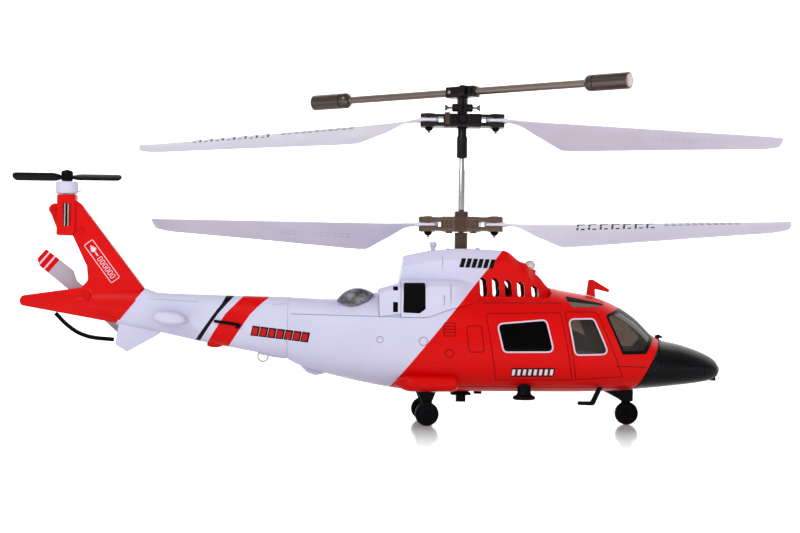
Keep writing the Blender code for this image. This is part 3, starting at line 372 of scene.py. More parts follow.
def moved(solid, x=0.0, y=0.0, z=0.0):
    """The same solid shifted."""
    return [(a + x, b + y, c + z) for a, b, c in solid[0]], solid[1]


def span(side, near, far):
    """Lowest and highest of two distances from the middle, on one side of it."""
    return sorted((side * near, side * far))


def mirrored(solid, side):
    """The solid itself on the port side, or its mirror image on the starboard side."""
    return [(x, side * y, z) for x, y, z in solid[0]], solid[1]


# ---- Objects ----
def solid_mesh(name, solid, finishes):
    """Mesh of a solid, with faces that point outwards."""
    points, faces = solid
    mesh = bpy.data.meshes.new(name)
    mesh.from_pydata([Vector(p) * MM for p in points], [], faces)
    for finish in finishes:
        mesh.materials.append(finish)
    work = bmesh.new()
    work.from_mesh(mesh)
    bmesh.ops.recalc_face_normals(work, faces=work.faces)
    bmesh.ops.triangulate(work, faces=[face for face in work.faces if len(face.verts) > 4])
    work.to_mesh(mesh)
    work.free()
    return mesh


def piece(name, body, solid, finish, stands_for=()):
    """A shown piece that rides on a body, and that may stand for CAD nodes."""
    made = bpy.data.objects.new(name, solid_mesh(name, solid, [finish]))
    bpy.context.scene.collection.objects.link(made)
    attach(made, body)
    if stands_for:
        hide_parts(*([stands_for] if isinstance(stands_for, str) else stands_for))
    return made


def boolean(target, solids, operation, finish=None):
    """Joins, cuts or keeps the target with closed solids, and applies the result to its mesh."""
    group = bpy.data.collections.new("guides")
    bpy.context.scene.collection.children.link(group)
    for solid in solids:
        mesh = solid_mesh("guide", solid, [finish or target.data.materials[0]])
        group.objects.link(bpy.data.objects.new("guide", mesh))
    change = target.modifiers.new("change", "BOOLEAN")
    change.operation = operation
    change.solver = "EXACT"
    change.operand_type = "COLLECTION"
    change.collection = group
    change.material_mode = "TRANSFER"
    graph = bpy.context.evaluated_depsgraph_get()
    mesh = bpy.data.meshes.new_from_object(target.evaluated_get(graph), depsgraph=graph)
    target.modifiers.clear()
    target.data = mesh
    for guide in list(group.objects):
        bpy.data.objects.remove(guide)
    bpy.data.collections.remove(group)


def cut(target, *solids, finish=None):
    boolean(target, solids, "DIFFERENCE", finish)


def join(target, *solids, finish=None):
    boolean(target, solids, "UNION", finish)


def keep(target, *solids):
    boolean(target, solids, "INTERSECT")


def only_triangles(target):
    """Splits every face, so that curved sides are cut cleanly."""
    work = bmesh.new()
    work.from_mesh(target.data)
    bmesh.ops.triangulate(work, faces=work.faces)
    work.to_mesh(target.data)
    work.free()


def shade(target, angle=32):
    """Smooth shading with sharp edges kept."""
    target.data.shade_smooth()
    target.data.set_sharp_from_angle(angle=radians(angle))


# ---- Materials ----
def add_node(tree, kind, values, **settings):
    """Node with its settings, and with each input set to a value or linked to a socket."""
    made = tree.nodes.new(kind)
    for key, value in settings.items():
        setattr(made, key, value)
    for key, value in values.items():
        if isinstance(value, bpy.types.NodeSocket):
            tree.links.new(value, made.inputs[key])
        else:
            made.inputs[key].default_value = value
    return made


def noise(tree, place, scale, detail=2.0):
    """Cloudy value between 0 and 1."""
    return add_node(tree, "ShaderNodeTexNoise", {"Vector": place, "Scale": scale,
                                                 "Detail": detail}).outputs["Fac"]


def ranged(tree, value, low, high):
    """Value from 0 to 1 stretched between low and high."""
    return add_node(tree, "ShaderNodeMapRange", {"Value": value, "To Min": low,
                                                 "To Max": high}).outputs["Result"]


def calculate(tree, operation, a, b=0.0):
    return add_node(tree, "ShaderNodeMath", {0: a, 1: b}, operation=operation).outputs[0]


def mixed(tree, factor, first, second):
    """Colour between two; a Mix node's colour sockets are 6 and 7, and 2 on its way out."""
    made = add_node(tree, "ShaderNodeMix", {"Factor": factor}, data_type="RGBA")
    for socket, value in ((made.inputs[6], first), (made.inputs[7], second)):
        if isinstance(value, bpy.types.NodeSocket):
            tree.links.new(value, socket)
        else:
            socket.default_value = (*value, 1.0)
    return made.outputs[2]


def inside(tree, place, outline):
    """1 inside a convex outline in the side view, given clockwise, or on one side of two points, else 0."""
    axes = add_node(tree, "ShaderNodeSeparateXYZ", {"Vector": place})
    nearest = None
    edges = zip(outline, outline[1:] + outline[:1]) if len(outline) > 2 else [outline]
    for (x0, z0), (x1, z1) in edges:
        across = calculate(tree, "MULTIPLY", axes.outputs["X"], (z1 - z0) / MM)
        up = calculate(tree, "MULTIPLY_ADD", axes.outputs["Z"], (x0 - x1) / MM)
        tree.nodes[-1].inputs[2].default_value = (x1 - x0) * z0 - (z1 - z0) * x0
        distance = calculate(tree, "ADD", across, up)
        nearest = distance if nearest is None else calculate(tree, "MINIMUM", nearest, distance)
    return calculate(tree, "GREATER_THAN", nearest, 0.0)


def plastic(name, colour, roughness=0.28, coat=0.35, drift=0.05, peel=0.25, regions=(), specular=0.5,
            clouds=90.0):
    """Moulded plastic: faint drift in colour and gloss, a fine orange-peel surface, and painted regions."""
    made = bpy.data.materials.new(name)
    made.use_nodes = True
    tree = made.node_tree
    shader = tree.nodes["Principled BSDF"]
    place = add_node(tree, "ShaderNodeTexCoord", {}).outputs["Object"]
    cloudy = add_node(tree, "ShaderNodeMapRange", {"Value": noise(tree, place, clouds, 3.0), "From Min": 0.35,
                                                   "From Max": 0.65}).outputs["Result"]
    light = tuple(min(c * (1 + drift), 1) for c in colour)
    dark = tuple(c * (1 - drift) for c in colour)
    paint = mixed(tree, cloudy, dark, light)
    for region_colour, outline in regions:
        paint = mixed(tree, inside(tree, place, outline), paint, region_colour)
    tree.links.new(paint, shader.inputs["Base Color"])
    gloss = ranged(tree, noise(tree, place, 600.0, 4.0), roughness - 0.06, roughness + 0.06)
    tree.links.new(gloss, shader.inputs["Roughness"])
    bump = add_node(tree, "ShaderNodeBump", {"Height": noise(tree, place, 2200.0, 3.0), "Strength": peel,
                                             "Distance": 0.00002})
    tree.links.new(bump.outputs["Normal"], shader.inputs["Normal"])
    shader.inputs["Coat Weight"].default_value = coat
    shader.inputs["Coat Roughness"].default_value = 0.12
    shader.inputs["Specular IOR Level"].default_value = specular
    return made


def smoked(name, colour, clear, roughness=0.12, ripple=0.2, edge=0.8):
    """Tinted see-through plastic with slight ripples, a little haze and painted shade on its edges, which
    darken as the surface turns from the view.
    """
    made = plastic(name, colour, roughness, 0.0, 0.12, ripple, specular=0.18)
    shader = made.node_tree.nodes["Principled BSDF"]
    shader.inputs["Transmission Weight"].default_value = clear
    shader.inputs["IOR"].default_value = 1.35
    tree = made.node_tree
    # The colour darkens where the surface turns away from the view: painted shade at the edges of every
    # smoked and clear piece.
    painted_edge_shade = add_node(tree, "ShaderNodeLayerWeight", {"Blend": 0.35}).outputs["Facing"]
    paint = shader.inputs["Base Color"].links[0].from_socket
    tree.links.new(mixed(tree, painted_edge_shade, paint, tuple(c * edge for c in colour)), shader.inputs["Base Color"])
    return made


def metal(name, colour, roughness=0.3, brushed=(1, 1, 12), yaw=0.0, uneven=0.2):
    """Drawn or turned metal with fine lines along one direction, turned by a yaw, and uneven polish."""
    made = bpy.data.materials.new(name)
    made.use_nodes = True
    tree = made.node_tree
    shader = tree.nodes["Principled BSDF"]
    place = add_node(tree, "ShaderNodeTexCoord", {}).outputs["Object"]
    turned_place = add_node(tree, "ShaderNodeMapping", {"Vector": place, "Rotation": (0, 0, -radians(yaw))})
    drawn = add_node(tree, "ShaderNodeMapping", {"Vector": turned_place.outputs["Vector"], "Scale": brushed})
    lines = noise(tree, drawn.outputs["Vector"], 400.0, 4.0)
    paint = mixed(tree, lines, tuple(c * (1 - uneven) for c in colour),
                  tuple(min(c * (1 + uneven), 1) for c in colour))
    tree.links.new(paint, shader.inputs["Base Color"])
    tree.links.new(ranged(tree, lines, roughness - 0.08, roughness + 0.1), shader.inputs["Roughness"])
    bump = add_node(tree, "ShaderNodeBump", {"Height": lines, "Strength": 0.15, "Distance": 0.00002})
    tree.links.new(bump.outputs["Normal"], shader.inputs["Normal"])
    shader.inputs["Metallic"].default_value = 1.0
    return made


def stripe(left, right):
    """Clockwise quadrilaterals between two edges that run upwards with kinks."""
    return [[left[i], left[i + 1], right[i + 1], right[i]] for i in range(len(left) - 1)]


def boom_stripes():
    """Black and red stripes that lean forward as they climb the boom."""
    levels = (19.0, 31.2, 34.05, 38.0)
    edges = [list(zip(places, levels)) for places in ((-62.1, -53.5, -51.35, -49.3),
                                                      (-60.5, -52.3, -49.85, -46.5),
                                                      (-57.8, -50.15, -47.35, -43.6),
                                                      (-51.1, -42.9, -40.05, -35.5))]
    return ([(BLACK, quad) for quad in stripe(edges[0], edges[1])]
            + [(RED, quad) for quad in stripe(edges[2], edges[3])])


SHELL = plastic("shell_paint", WHITE, 0.34, 0.0, 0.02, 0.2, [(RED, PAINT_EDGE)], 0.1)
RED_PLASTIC = plastic("red_plastic", RED, 0.34, 0.0, 0.04, 0.25, specular=0.12)
WHITE_PLASTIC = plastic("white_plastic", WHITE, 0.34, 0.0, 0.02, specular=0.1)
BOOM_PAINT = plastic("boom_paint", WHITE, 0.34, 0.0, 0.02, 0.2, boom_stripes(), 0.1)
# Panel lines and channels are cut with walls in these darker colours: painted shade in the grooves.
GROOVE_SHADE_ON_WHITE = plastic("white_groove_shade", (0.43, 0.42, 0.55), 0.5, 0.0, specular=0.1)
SHELL_GROOVE_SHADE = plastic("shell_groove_shade", (0.43, 0.42, 0.55), 0.5, 0.0, 0.03, 0.2,
                       [((0.30, 0.002, 0.002), PAINT_EDGE)], 0.1)
NOSE_BLACK = plastic("nose_black", BLACK, 0.25, 0.0, 0.2, 0.35, specular=0.11)
TRIM_BLACK = plastic("trim_black", BLACK, 0.36, 0.0, 0.2, 0.4, specular=0.06)
DULL_BLACK = plastic("dull_black", (0.003, 0.003, 0.004), 0.5, 0.0, 0.2, 0.6, specular=0.04)
HUB_BLACK = plastic("hub_black", (0.010, 0.007, 0.008), 0.28, 0.0, 0.4, 0.8, specular=0.18)
RUBBER = plastic("wheel_rubber", (0.003, 0.003, 0.004), 0.45, 0.0, 0.25, 0.8, specular=0.06)
FRAME_WHITE = plastic("window_frame_white", (0.62, 0.52, 0.64), 0.35, 0.0, 0.03, specular=0.2)
PRINT_BLACK = plastic("printed_black", (0.003, 0.003, 0.004), 0.45, 0.0, 0.2, specular=0.1)
PRINT_WHITE = plastic("printed_white", (0.75, 0.62, 0.70), 0.45, 0.0, 0.03, specular=0.1)
PRINT_RED = plastic("printed_red", (0.50, 0.006, 0.006), 0.45, 0.0, 0.05, specular=0.1)
PRINT_GREY = plastic("printed_grey", (0.12, 0.12, 0.16), 0.45, 0.0, 0.1, specular=0.1)
# Faint grey-lilac for the lower face of the blades: painted shadow of the print on the upper face.
FAINT_PRINT_SHADOW = plastic("painted_print_shadow", (0.53, 0.505, 0.61), 0.45, 0.0, 0.1, specular=0.1)
BLADE = plastic("blade_plastic", (0.60, 0.57, 0.68), 0.4, 0.0, 0.03, 0.3, specular=0.2)
WINDOW_DARK = plastic("dark_glazing", (0.0008, 0.0008, 0.0008), 0.12, 0.0, 0.3, 0.1, specular=0.05)
WINDOW_SMOKE = smoked("smoked_glazing", (0.26, 0.215, 0.18), 0.95, 0.05, 0.08)
ROOF_SMOKE = plastic("roof_glazing", (0.15, 0.117, 0.095), 0.2, 0.0, 0.1, 0.1,
                     [((0.002, 0.002, 0.002), ((60.0, 34.8), (47.0, 36.2)))], 0.02)
EXHAUST_SMOKE = plastic("smoked_exhaust", (0.11, 0.107, 0.12), 0.22, 0.0, 0.8, 0.7, specular=0.4,
                        clouds=420.0)
HUB_SMOKE = smoked("smoked_hub", (0.12, 0.075, 0.055), 0.5, 0.2, 0.3)
CLEAR = smoked("clear_lamp", (0.72, 0.68, 0.69), 0.55, 0.08, 0.1, 0.3)
STEEL = metal("drawn_steel", (0.55, 0.53, 0.52), 0.28, (12, 12, 1))
MOTOR_STEEL = metal("motor_can", (0.75, 0.72, 0.68), 0.25, (12, 12, 1))
FLYBAR_METAL = metal("flybar_metal", (0.24, 0.19, 0.165), 0.38, (0.1, 2, 2), UPPER_YAW + FLYBAR_YAW, 0.35)
WEIGHT_METAL = metal("weight_metal", (0.115, 0.09, 0.082), 0.3, (0.1, 1.5, 1.5), UPPER_YAW + FLYBAR_YAW, 0.55)
CAP_METAL = metal("cap_metal", (0.62, 0.50, 0.46), 0.4, (1, 1, 1))
SCREW = metal("screw_metal", (0.42, 0.30, 0.27), 0.35, (1, 1, 1))
BRASS = metal("brass", (0.60, 0.42, 0.15), 0.3, (1, 1, 1))
NYLON = plastic("gear_nylon", (0.62, 0.61, 0.56), 0.5, 0.0, 0.05)
BATTERY = plastic("battery_film", (0.02, 0.05, 0.16), 0.25, 0.2, 0.1)
BOARD = plastic("board_lacquer", (0.015, 0.13, 0.045), 0.3, 0.4, 0.25)


# ---- Body surface ----
def section(x):
    """Top, bottom, half width, waist and roundness of the body at x."""
    return [smooth_value(points, x) for points in (BODY_TOP, BODY_BOTTOM, BODY_WIDTH, BODY_WAIST,
                                                   UPPER_ROUND)]


def skin(x, z):
    """Half width of the body at a point of its side view."""
    top, bottom, width, waist, power = section(x)
    share = (z - waist) / (top - waist)
    if z < waist:
        share, power = (waist - z) / (waist - bottom), LOWER_ROUND
    return width * max(1 - min(share, 1) ** power, 0) ** (1 / power)


def inset_path(path, depth):
    """Open (across, up) path moved inwards by depth; its ends move straight up or down."""
    result = []
    for i, (y, z) in enumerate(path):
        along = (Vector(path[min(i + 1, len(path) - 1)]) - Vector(path[max(i - 1, 0)])).normalized()
        inward = Vector((along.y, -along.x))
        if y < 0.2:
            inward = Vector((0.0, -1.0 if i == 0 else 1.0))
        result.append((max(y + inward.x * depth, y if y < 0.2 else 0.15), z + inward.y * depth))
    return result


def body_half(x, start=0.15, depth=0.0, steps=18):
    """Half section of the body at x, top to bottom, as (across, up) points."""
    top, bottom, width, waist, power = section(x)
    first = asin((start / width) ** (power / 2))
    last = acos((0.15 / width) ** (LOWER_ROUND / 2))
    path = []
    for i in range(steps + 1):
        angle = first + (pi / 2 - first) * i / steps
        path.append((width * sin(angle) ** (2 / power),
                     waist + (top - waist) * max(cos(angle), 0.0) ** (2 / power)))
    for i in range(1, steps + 1):
        angle = last * i / steps
        path.append((width * cos(angle) ** (2 / LOWER_ROUND),
                     waist - (waist - bottom) * sin(angle) ** (2 / LOWER_ROUND)))
    return inset_path(path, depth) if depth else path


def shell_ring(x, side, outer, inner, start):
    """Closed section of one half shell between two depths."""
    ring = body_half(x, start, outer) + body_half(x, start, inner)[::-1]
    return [(x, side * y, z) for y, z in ring]


def whole_ring(x, depth=0.0):
    """Closed section of the whole body."""
    half = body_half(x, depth=depth)
    return [(x, -y, z) for y, z in half] + [(x, y, z) for y, z in reversed(half)]


def body_solid(depth, low, high, step=4.0):
    """Body as one solid, sunk by depth."""
    return loft([whole_ring(x, depth) for x in spaced(low, high, step)])


def shell_start(x):
    """The shells stop beside the cowling, where the roof is open."""
    return smooth_value(COWL_WIDTH, x) + 0.15 if COWL_FROM - 0.7 < x < COWL_TO + 0.4 else 0.15


def joint_wedge(joint, shift, forward):
    """Big block on one side of a slanted joint, moved along the joint's normal by shift."""
    (x0, z0), (x1, z1) = joint
    along = Vector((x1 - x0, z1 - z0)).normalized()
    normal = Vector((along.y, -along.x))
    low = Vector((x0, z0)) - along * 40 + normal * shift
    high = Vector((x1, z1)) + along * 40 + normal * shift
    depth = normal * (60 if forward else -60)
    return prism([tuple(p) for p in (low, high, high + depth, low + depth)], -40, 40)


def side_prism(outline, side, near=1.0, far=25.0):
    """Outline of the side view pushed through one side."""
    low, high = span(side, near, far)
    return prism(outline, low, high)


def line_cutter(path, side, surface=skin, closed=False, width=LINE_WIDTH, depth=LINE_DEPTH):
    """Thin strip along a line of the side view, sunk into the surface by depth."""
    dense = resampled(path, 1.2, closed)
    rings = []
    for (x, z), along in directed(dense, closed):
        ax, az = -along.y * width / 2, along.x * width / 2
        low, high = side * (surface(x, z) - depth), side * (surface(x, z) + 0.8)
        rings.append([(x - ax, low, z - az), (x + ax, low, z + az), (x + ax, high, z + az),
                      (x - ax, high, z - az)])
    return loft(rings, closed)


def strip(path, side, width, rise, surface=skin, closed=True, sink=0.3):
    """Raised band along a line of the side view, with chamfered edges."""
    dense = resampled(path, 0.8, closed)
    rings = []
    for (x, z), along in directed(dense, closed):
        out = Vector((-along.y, along.x))
        ring = []
        for share, height in ((-0.5, -sink), (-0.5, rise * 0.6), (-0.3, rise), (0.3, rise), (0.5, rise * 0.6),
                              (0.5, -sink)):
            px, pz = x + out.x * width * share, z + out.y * width * share
            ring.append((px, side * (surface(px, pz) + height), pz))
        rings.append(ring)
    return loft(rings, closed)


def printed(quad, side, surface=skin, rise=PRINT_RISE, steps=6):
    """Thin printed patch over four corners of the side view, following the surface."""
    a, b, c, d = [Vector(p) for p in quad]
    rings = []
    for i in range(steps + 1):
        start, end = a.lerp(b, i / steps), d.lerp(c, i / steps)
        row = [start.lerp(end, k / 3) for k in range(4)]
        top = [(p.x, side * (surface(p.x, p.y) + rise), p.y) for p in row]
        under = [(p.x, side * (surface(p.x, p.y) - 0.05), p.y) for p in reversed(row)]
        rings.append(top + under)
    return loft(rings)


def slanted_bars(start, size, count, pitch, lean, side, surface=skin, rise=PRINT_RISE):
    """Row of leaning printed bars: start is the first bar's lower left corner, size its width and height."""
    width, height = size
    bars = []
    for i in range(count):
        x, z = start[0] + pitch[0] * i, start[1] + pitch[1] * i
        quad = [(x, z), (x + width, z), (x + width + lean, z + height), (x + lean, z + height)]
        bars.append(printed(quad, side, surface, rise, 2))
    return merged(*bars)


# ---- Fuselage ----
def sponson(side, grow=0.0):
    """Bulge above the main wheel, with a blunt front end."""
    rings = []
    for x in spaced(-0.6, 15.0, 0.9) + spaced(15.2, 17.2, 0.25):
        size = smooth_value(SPONSON_SIZE, x)
        wide, tall = (half * size + grow for half in SPONSON_HALF)
        ring = []
        for i in range(32):
            across, up = cos(2 * pi * i / 32), sin(2 * pi * i / 32)
            ring.append((x, side * SPONSON_CENTRE[0] + wide * copysign(abs(across) ** 0.7, across),
                         SPONSON_CENTRE[1] + tall * copysign(abs(up) ** 0.7, up)))
        rings.append(ring)
    return loft(rings)


def pod_tail(side):
    """Fairing that leads the rear deck up to a pod's back."""
    back = [(7.0, 39.2), (10.6, 39.0), (12.6, 37.8), (13.6, 35.0), (13.9, 31.0), (7.0, 31.0)]
    front = [(8.0, 41.2), (12.3, 41.0), (14.4, 39.5), (15.4, 36.0), (15.7, 32.0), (8.0, 32.0)]
    rings = []
    for x, outline in ((-5.6, back), (1.25, front)):
        rings.append([(x, side * y, z) for y, z in fillet(outline, 0.9, 4, skip=(0, 4, 5))])
    return loft(rings)


def panel_lines():
    """Moulded lines on a fuselage side, as (path, closed) in the side view."""
    cabin_door = [(27.8, 13.3), (24.8, 32.2), (46.2, 32.7), (49.7, 13.5)]
    front_door = [(50.8, 13.6), (47.5, 32.5), (48.0, 33.0), (56.5, 33.0), (57.4, 32.0), (64.3, 14.6)]
    lines = [(fillet(cabin_door, 0.8, 3, skip=(0, 3)), False), ([(27.8, 13.3), (49.7, 13.5)], False),
             (front_door, False), ([(50.8, 13.6), (64.3, 14.6)], False)]
    lines += [([(-31.0, 31.4), (-5.6, 31.0), (1.2, 30.9)], False),
              ([(-5.6, 31.0), (-5.6, 37.4)], False),
              ([(24.2, 35.3), (46.8, 35.5)], False),
              (fillet([(12.8, 29.4), (16.0, 29.4), (16.1, 25.7), (12.8, 25.7)], 0.4, 3), True),
              (fillet([(19.2, 28.6), (23.4, 28.7), (24.3, 21.3), (20.0, 21.2)], 0.8, 3), True),
              (circle((14.4, 20.8), 1.15), True), (circle((7.0, 24.1), 1.2), True),
              (circle((-5.3, 24.4), 0.9), True),
              ([(17.6, 11.2), (66.5, 11.4)], False),
              ([(71.6, 17.3), (62.0, 17.6)], False)]
    for i in range(3):
        lines.append(([(12.9, 28.5 - 0.9 * i), (16.0, 28.5 - 0.9 * i)], False))
    return lines


def fuselage(side_name, side):
    """Half shell with its sponson, deck, windows, lines and vents."""
    stations = spaced(-32, 0.7, 1.6) + spaced(1.0, 44.4, 1.6) + spaced(44.7, 78, 1.4)
    rings = [shell_ring(x, side, 0.0, WALL, shell_start(x)) for x in stations]
    name = f"fuselage_shell_{side_name}"
    shell = piece(name, "airframe", loft(rings), SHELL, f"fuselage_{side_name}")
    low, high = span(side, 0.15, 1.5)
    hump = prism(fillet(BELLY_HUMP, 1.4, 5, skip=(0, 6)), low, high)
    join(shell, sponson(side), pod_tail(side), hump)
    hollow = body_solid(WALL + 0.05, -20, 22)
    windows = [side_prism(fillet(CABIN_WINDOW, 1.4), side), side_prism(fillet(DOOR_WINDOW, 1.4), side)]
    roof = side_prism(fillet(ROOF_WINDOW, 0.7), side)
    screen = prism(fillet(WINDSCREEN, 0.9), -25, 25)
    switch = box(16.3, 21.3, -3.5, 3.5, 5, 14)
    low, high = span(side, 3, 25)
    trench = prism([(22.5, 37.0), (43.4, 37.0), (44.4, 38.2), (44.4, 46), (21.5, 46), (21.5, 38.2)], low,
                   high)
    cut(shell, hollow, joint_wedge(NOSE_JOINT, -GAP / 2, True), *windows, roof, screen, switch,
        cylinder(1.5, 5, 14, (23.9, 0, 0)), trench)
    low, high = span(side, 4, 11.8)
    riser = [(4, 36.2), (11.3, 36.2), (10.6, 37.0), (9.0, 37.9), (6.5, 38.5), (4, 38.8)]
    join(shell, box(21.0, 44.9, low, high, 36.0, 37.0), prism([(side * y, z) for y, z in riser], 44.3, 45.1,
                                                              "x"))
    cut(shell, pod(side, POD_GAP), cowl_solid(0.15))
    # The panel lines' walls take a darker colour: painted shade in the grooves.
    cut(shell, *[line_cutter(path, side, closed=closed) for path, closed in panel_lines()],
        finish=SHELL_GROOVE_SHADE)
    vents = [box(-1.7, -0.3, side * 14.4 - 2, side * 14.4 + 2, 38.5, 39.7, 0.1),
             box(-1.7, -0.3, side * 16.0 - 2, side * 16.0 + 2, 32.3, 35.2, 0.1)]
    cut(shell, *vents, finish=DULL_BLACK)
    for title, outline in (("cabin", CABIN_WINDOW), ("door", DOOR_WINDOW)):
        path = offset(fillet(outline, 1.4), 0.12)
        piece(f"{title}_window_frame_{side_name}", "airframe", strip(path, side, 0.44, 0.12), FRAME_WHITE)
    nub = turned([(0, -0.3), (0.75, -0.3), (0.75, 0.05), (0.6, 0.12), (0, 0.12)],
                 (10.3, 0, 18.8), "y", 20)
    lift = side * skin(10.3, 18.8)
    piece(f"shell_stud_{side_name}", "airframe", moved(mirrored(nub, side), y=lift), RED_PLASTIC)


def pane(name, node, side, outline, radius, first, last, finish, thick=0.8):
    """Window pane that follows the body's surface."""
    rings = [shell_ring(x, side, 0.12, 0.12 + thick, 0.15) for x in spaced(first, last, 1.2)]
    glass = piece(name, "airframe", loft(rings), finish, node)
    keep(glass, side_prism(offset(fillet(outline, radius), -0.08), side))


def glazing(side_name, side):
    """Panes of one side, and a dark backing under the roof pane."""
    pane(f"cabin_pane_{side_name}", f"cabin_window_{side_name}", side, CABIN_WINDOW, 1.4, 26, 46, WINDOW_DARK)
    pane(f"door_pane_{side_name}", f"door_window_{side_name}", side, DOOR_WINDOW, 1.4, 46, 62, WINDOW_SMOKE)
    pane(f"roof_pane_{side_name}", f"roof_window_{side_name}", side, ROOF_WINDOW, 0.7, 46, 62, ROOF_SMOKE)
    rings = [shell_ring(x, side, 1.1, 1.7, 0.15) for x in spaced(45, 63, 1.2)]
    backing = piece(f"roof_pane_backing_{side_name}", "airframe", loft(rings), DULL_BLACK)
    keep(backing, side_prism(offset(fillet(ROOF_WINDOW, 0.7), 1.2), side))


def wrapped_ring(x, outer, inner):
    """Ring of a shell that runs over the roof from side to side, open below."""
    over = body_half(x, 0.16, outer)[:24]
    under = body_half(x, 0.16, inner)[:24]
    ring = [(-y, z) for y, z in reversed(over)] + over + under[::-1] + [(-y, z) for y, z in under]
    return [(x, y, z) for y, z in ring]


def windscreen():
    """Smoked glass over a black seal."""
    rings = [wrapped_ring(x, 0.12, 0.9) for x in spaced(56, 78, 1.2)]
    glass = piece("windscreen_glass", "airframe", loft(rings), WINDOW_SMOKE, "windscreen")
    keep(glass, prism(offset(fillet(WINDSCREEN, 0.9), -0.08), -25, 25))
    rings = [wrapped_ring(x, 0.02, 0.3) for x in spaced(56, 78, 1.2)]
    seal = piece("windscreen_seal", "airframe", loft(rings), TRIM_BLACK)
    keep(seal, prism(offset(fillet(WINDSCREEN, 0.9), -0.05), -25, 25))
    opening = [(60.3, 31.7), (64.4, 33.2), (68.7, 30.5), (73.2, 26.0), (70.9, 22.1), (64.5, 21.9)]
    cut(seal, *[side_prism(fillet(opening, 0.7), side, 0.5) for side in (-1, 1)])


def cockpit():
    """Dark deck over the battery and the board, seen through the door and the windscreen."""
    heights = [(44.8, 27.8), (51, 27.0), (55, 25.4), (60, 23.2), (66, 22.4), (71.0, 21.9)]
    foot = 19.5
    rings = []
    for x in spaced(44.8, 71.0, 1.3):
        top = smooth_value(heights, x)
        half = min(skin(x, top), skin(x, foot)) - 1.7
        half_ring = [(half, foot), (half, top), (0, top + 0.9)]
        inner_ring = [(0, top + 0.1), (half - 0.6, top - 0.8), (half - 0.6, foot)]
        rings.append([(x, -y, z) for y, z in half_ring] + [(x, y, z) for y,
                                                           z in half_ring[1::-1] + inner_ring[::-1]]
                     + [(x, -y, z) for y, z in inner_ring[1:]])
    piece("cockpit_deck", "airframe", loft(rings), DULL_BLACK)


def nose():
    """Black cone with its lines, hook and wire eyelet."""
    rings = [whole_ring(x) for x in spaced(66, 90, 1.2) + spaced(90.6, 94.6, 0.5) + [94.9, 95.1]]
    cone = piece("nose_moulding", "airframe", loft(rings), NOSE_BLACK, "nose_cone")
    cut(cone, joint_wedge(NOSE_JOINT, GAP / 2, False))
    lines = []
    for side in (-1, 1):
        lines.append(line_cutter([(76.2, 23.4), (75.8, 21.5), (75.9, 17.4)], side))
        lines.append(line_cutter([(75.9, 17.4), (84.0, 17.5), (89.8, 17.6), (89.8, 14.2)], side))
    cut(cone, *lines, finish=PRINT_BLACK)
    hook = [(76.2, 24.4), (77.4, 24.4), (77.4, 25.7), (78.3, 25.5), (78.4, 26.1), (77.2, 26.7), (76.2, 26.4)]
    piece("nose_hook", "airframe", prism(fillet(hook, 0.25, 3), -0.5, 0.5, "y", 0.15), NOSE_BLACK)
    ring = [(x, 0, z) for x, z in circle((94.5, 14.1), 0.8, 28)]
    piece("nose_eyelet", "airframe", tube_along(ring, 0.12, 10, True), STEEL)
    lug = box(92.6, 94.2, -0.7, 0.7, 13.2, 15.0, 0.2)
    piece("nose_eyelet_lug", "airframe", lug, NOSE_BLACK)


# ---- Cowling ----
def cowl_ring(x, depth, floor):
    """Boxy section with chamfered shoulders."""
    top = smooth_value(COWL_TOP, x) - depth
    width = smooth_value(COWL_WIDTH, x) - depth
    drop = min(3.4, 0.5 * (top - COWL_FLOOR))
    chamfer = drop * 0.8
    outline = [(-width, floor), (-width, top - drop), (-width + chamfer, top), (width - chamfer, top),
               (width, top - drop), (width, floor)]
    return [(x, y, z) for y, z in fillet(outline, 1.1, 5, skip=(0, 5))]


def cowl_solid(margin):
    """Cowling as one solid, grown by a margin all round, with its back wall leaning."""
    stations = [COWL_FROM - margin, *spaced(COWL_FROM + 0.4, COWL_TO - 0.4, 0.9), COWL_TO + margin]
    rings = [cowl_ring(x, -margin, COWL_FLOOR - margin) for x in stations]
    top = smooth_value(COWL_TOP, COWL_FROM)
    rings[0] = [(x - COWL_LEAN * (top - z), y, z) for x, y, z in rings[0]]
    return loft(rings)


def pod_section(x, side, grow=0.0):
    """Half section of the engine pod, which narrows to the body's own side at its front end."""
    share = eased((x - POD_BLEND) / (POD_TO - POD_BLEND))
    bottom = smooth_value(POD_BOTTOM, x)
    box_corners = ((8.0, 41.8), (12.4, 41.6), (14.6, 39.8), (15.6, 36.6))
    flush_corners = ((7.0, 41.6), (8.4, 41.5), (9.3, 40.9), (skin(x, 36.6), 36.6))
    corners = [(a + (c - a) * share, b + (d - b) * share) for (a, b),
               (c, d) in zip(box_corners, flush_corners)]
    corners += [(skin(x, bottom) + 0.3 * (1 - share), bottom), (7.0, bottom)]
    outline = fillet(offset(corners, grow), 1.1, 4, skip=(0, 4, 5))
    return [(x, side * y, z) for y, z in outline]


def pod(side, grow=0.0):
    """Engine pod as one solid, grown all round."""
    stations = [POD_FROM - grow, *spaced(POD_FROM + 0.3, POD_TO - 0.3, 1.1), POD_TO + grow]
    return loft([pod_section(x, side, grow) for x in stations])


def cowl_side(x, z):
    """Half width of the cowling or, lower down, of its pod."""
    if z < 41.0 and x < POD_BLEND + 1:
        return 15.6 + (36.6 - z) * 0.1 if z < 36.6 else 15.6 - (z - 36.6) * 0.31
    top = smooth_value(COWL_TOP, x)
    drop = min(3.4, 0.5 * (top - COWL_FLOOR))
    return smooth_value(COWL_WIDTH, x) - max(0.0, (z - (top - drop)) * 0.8)


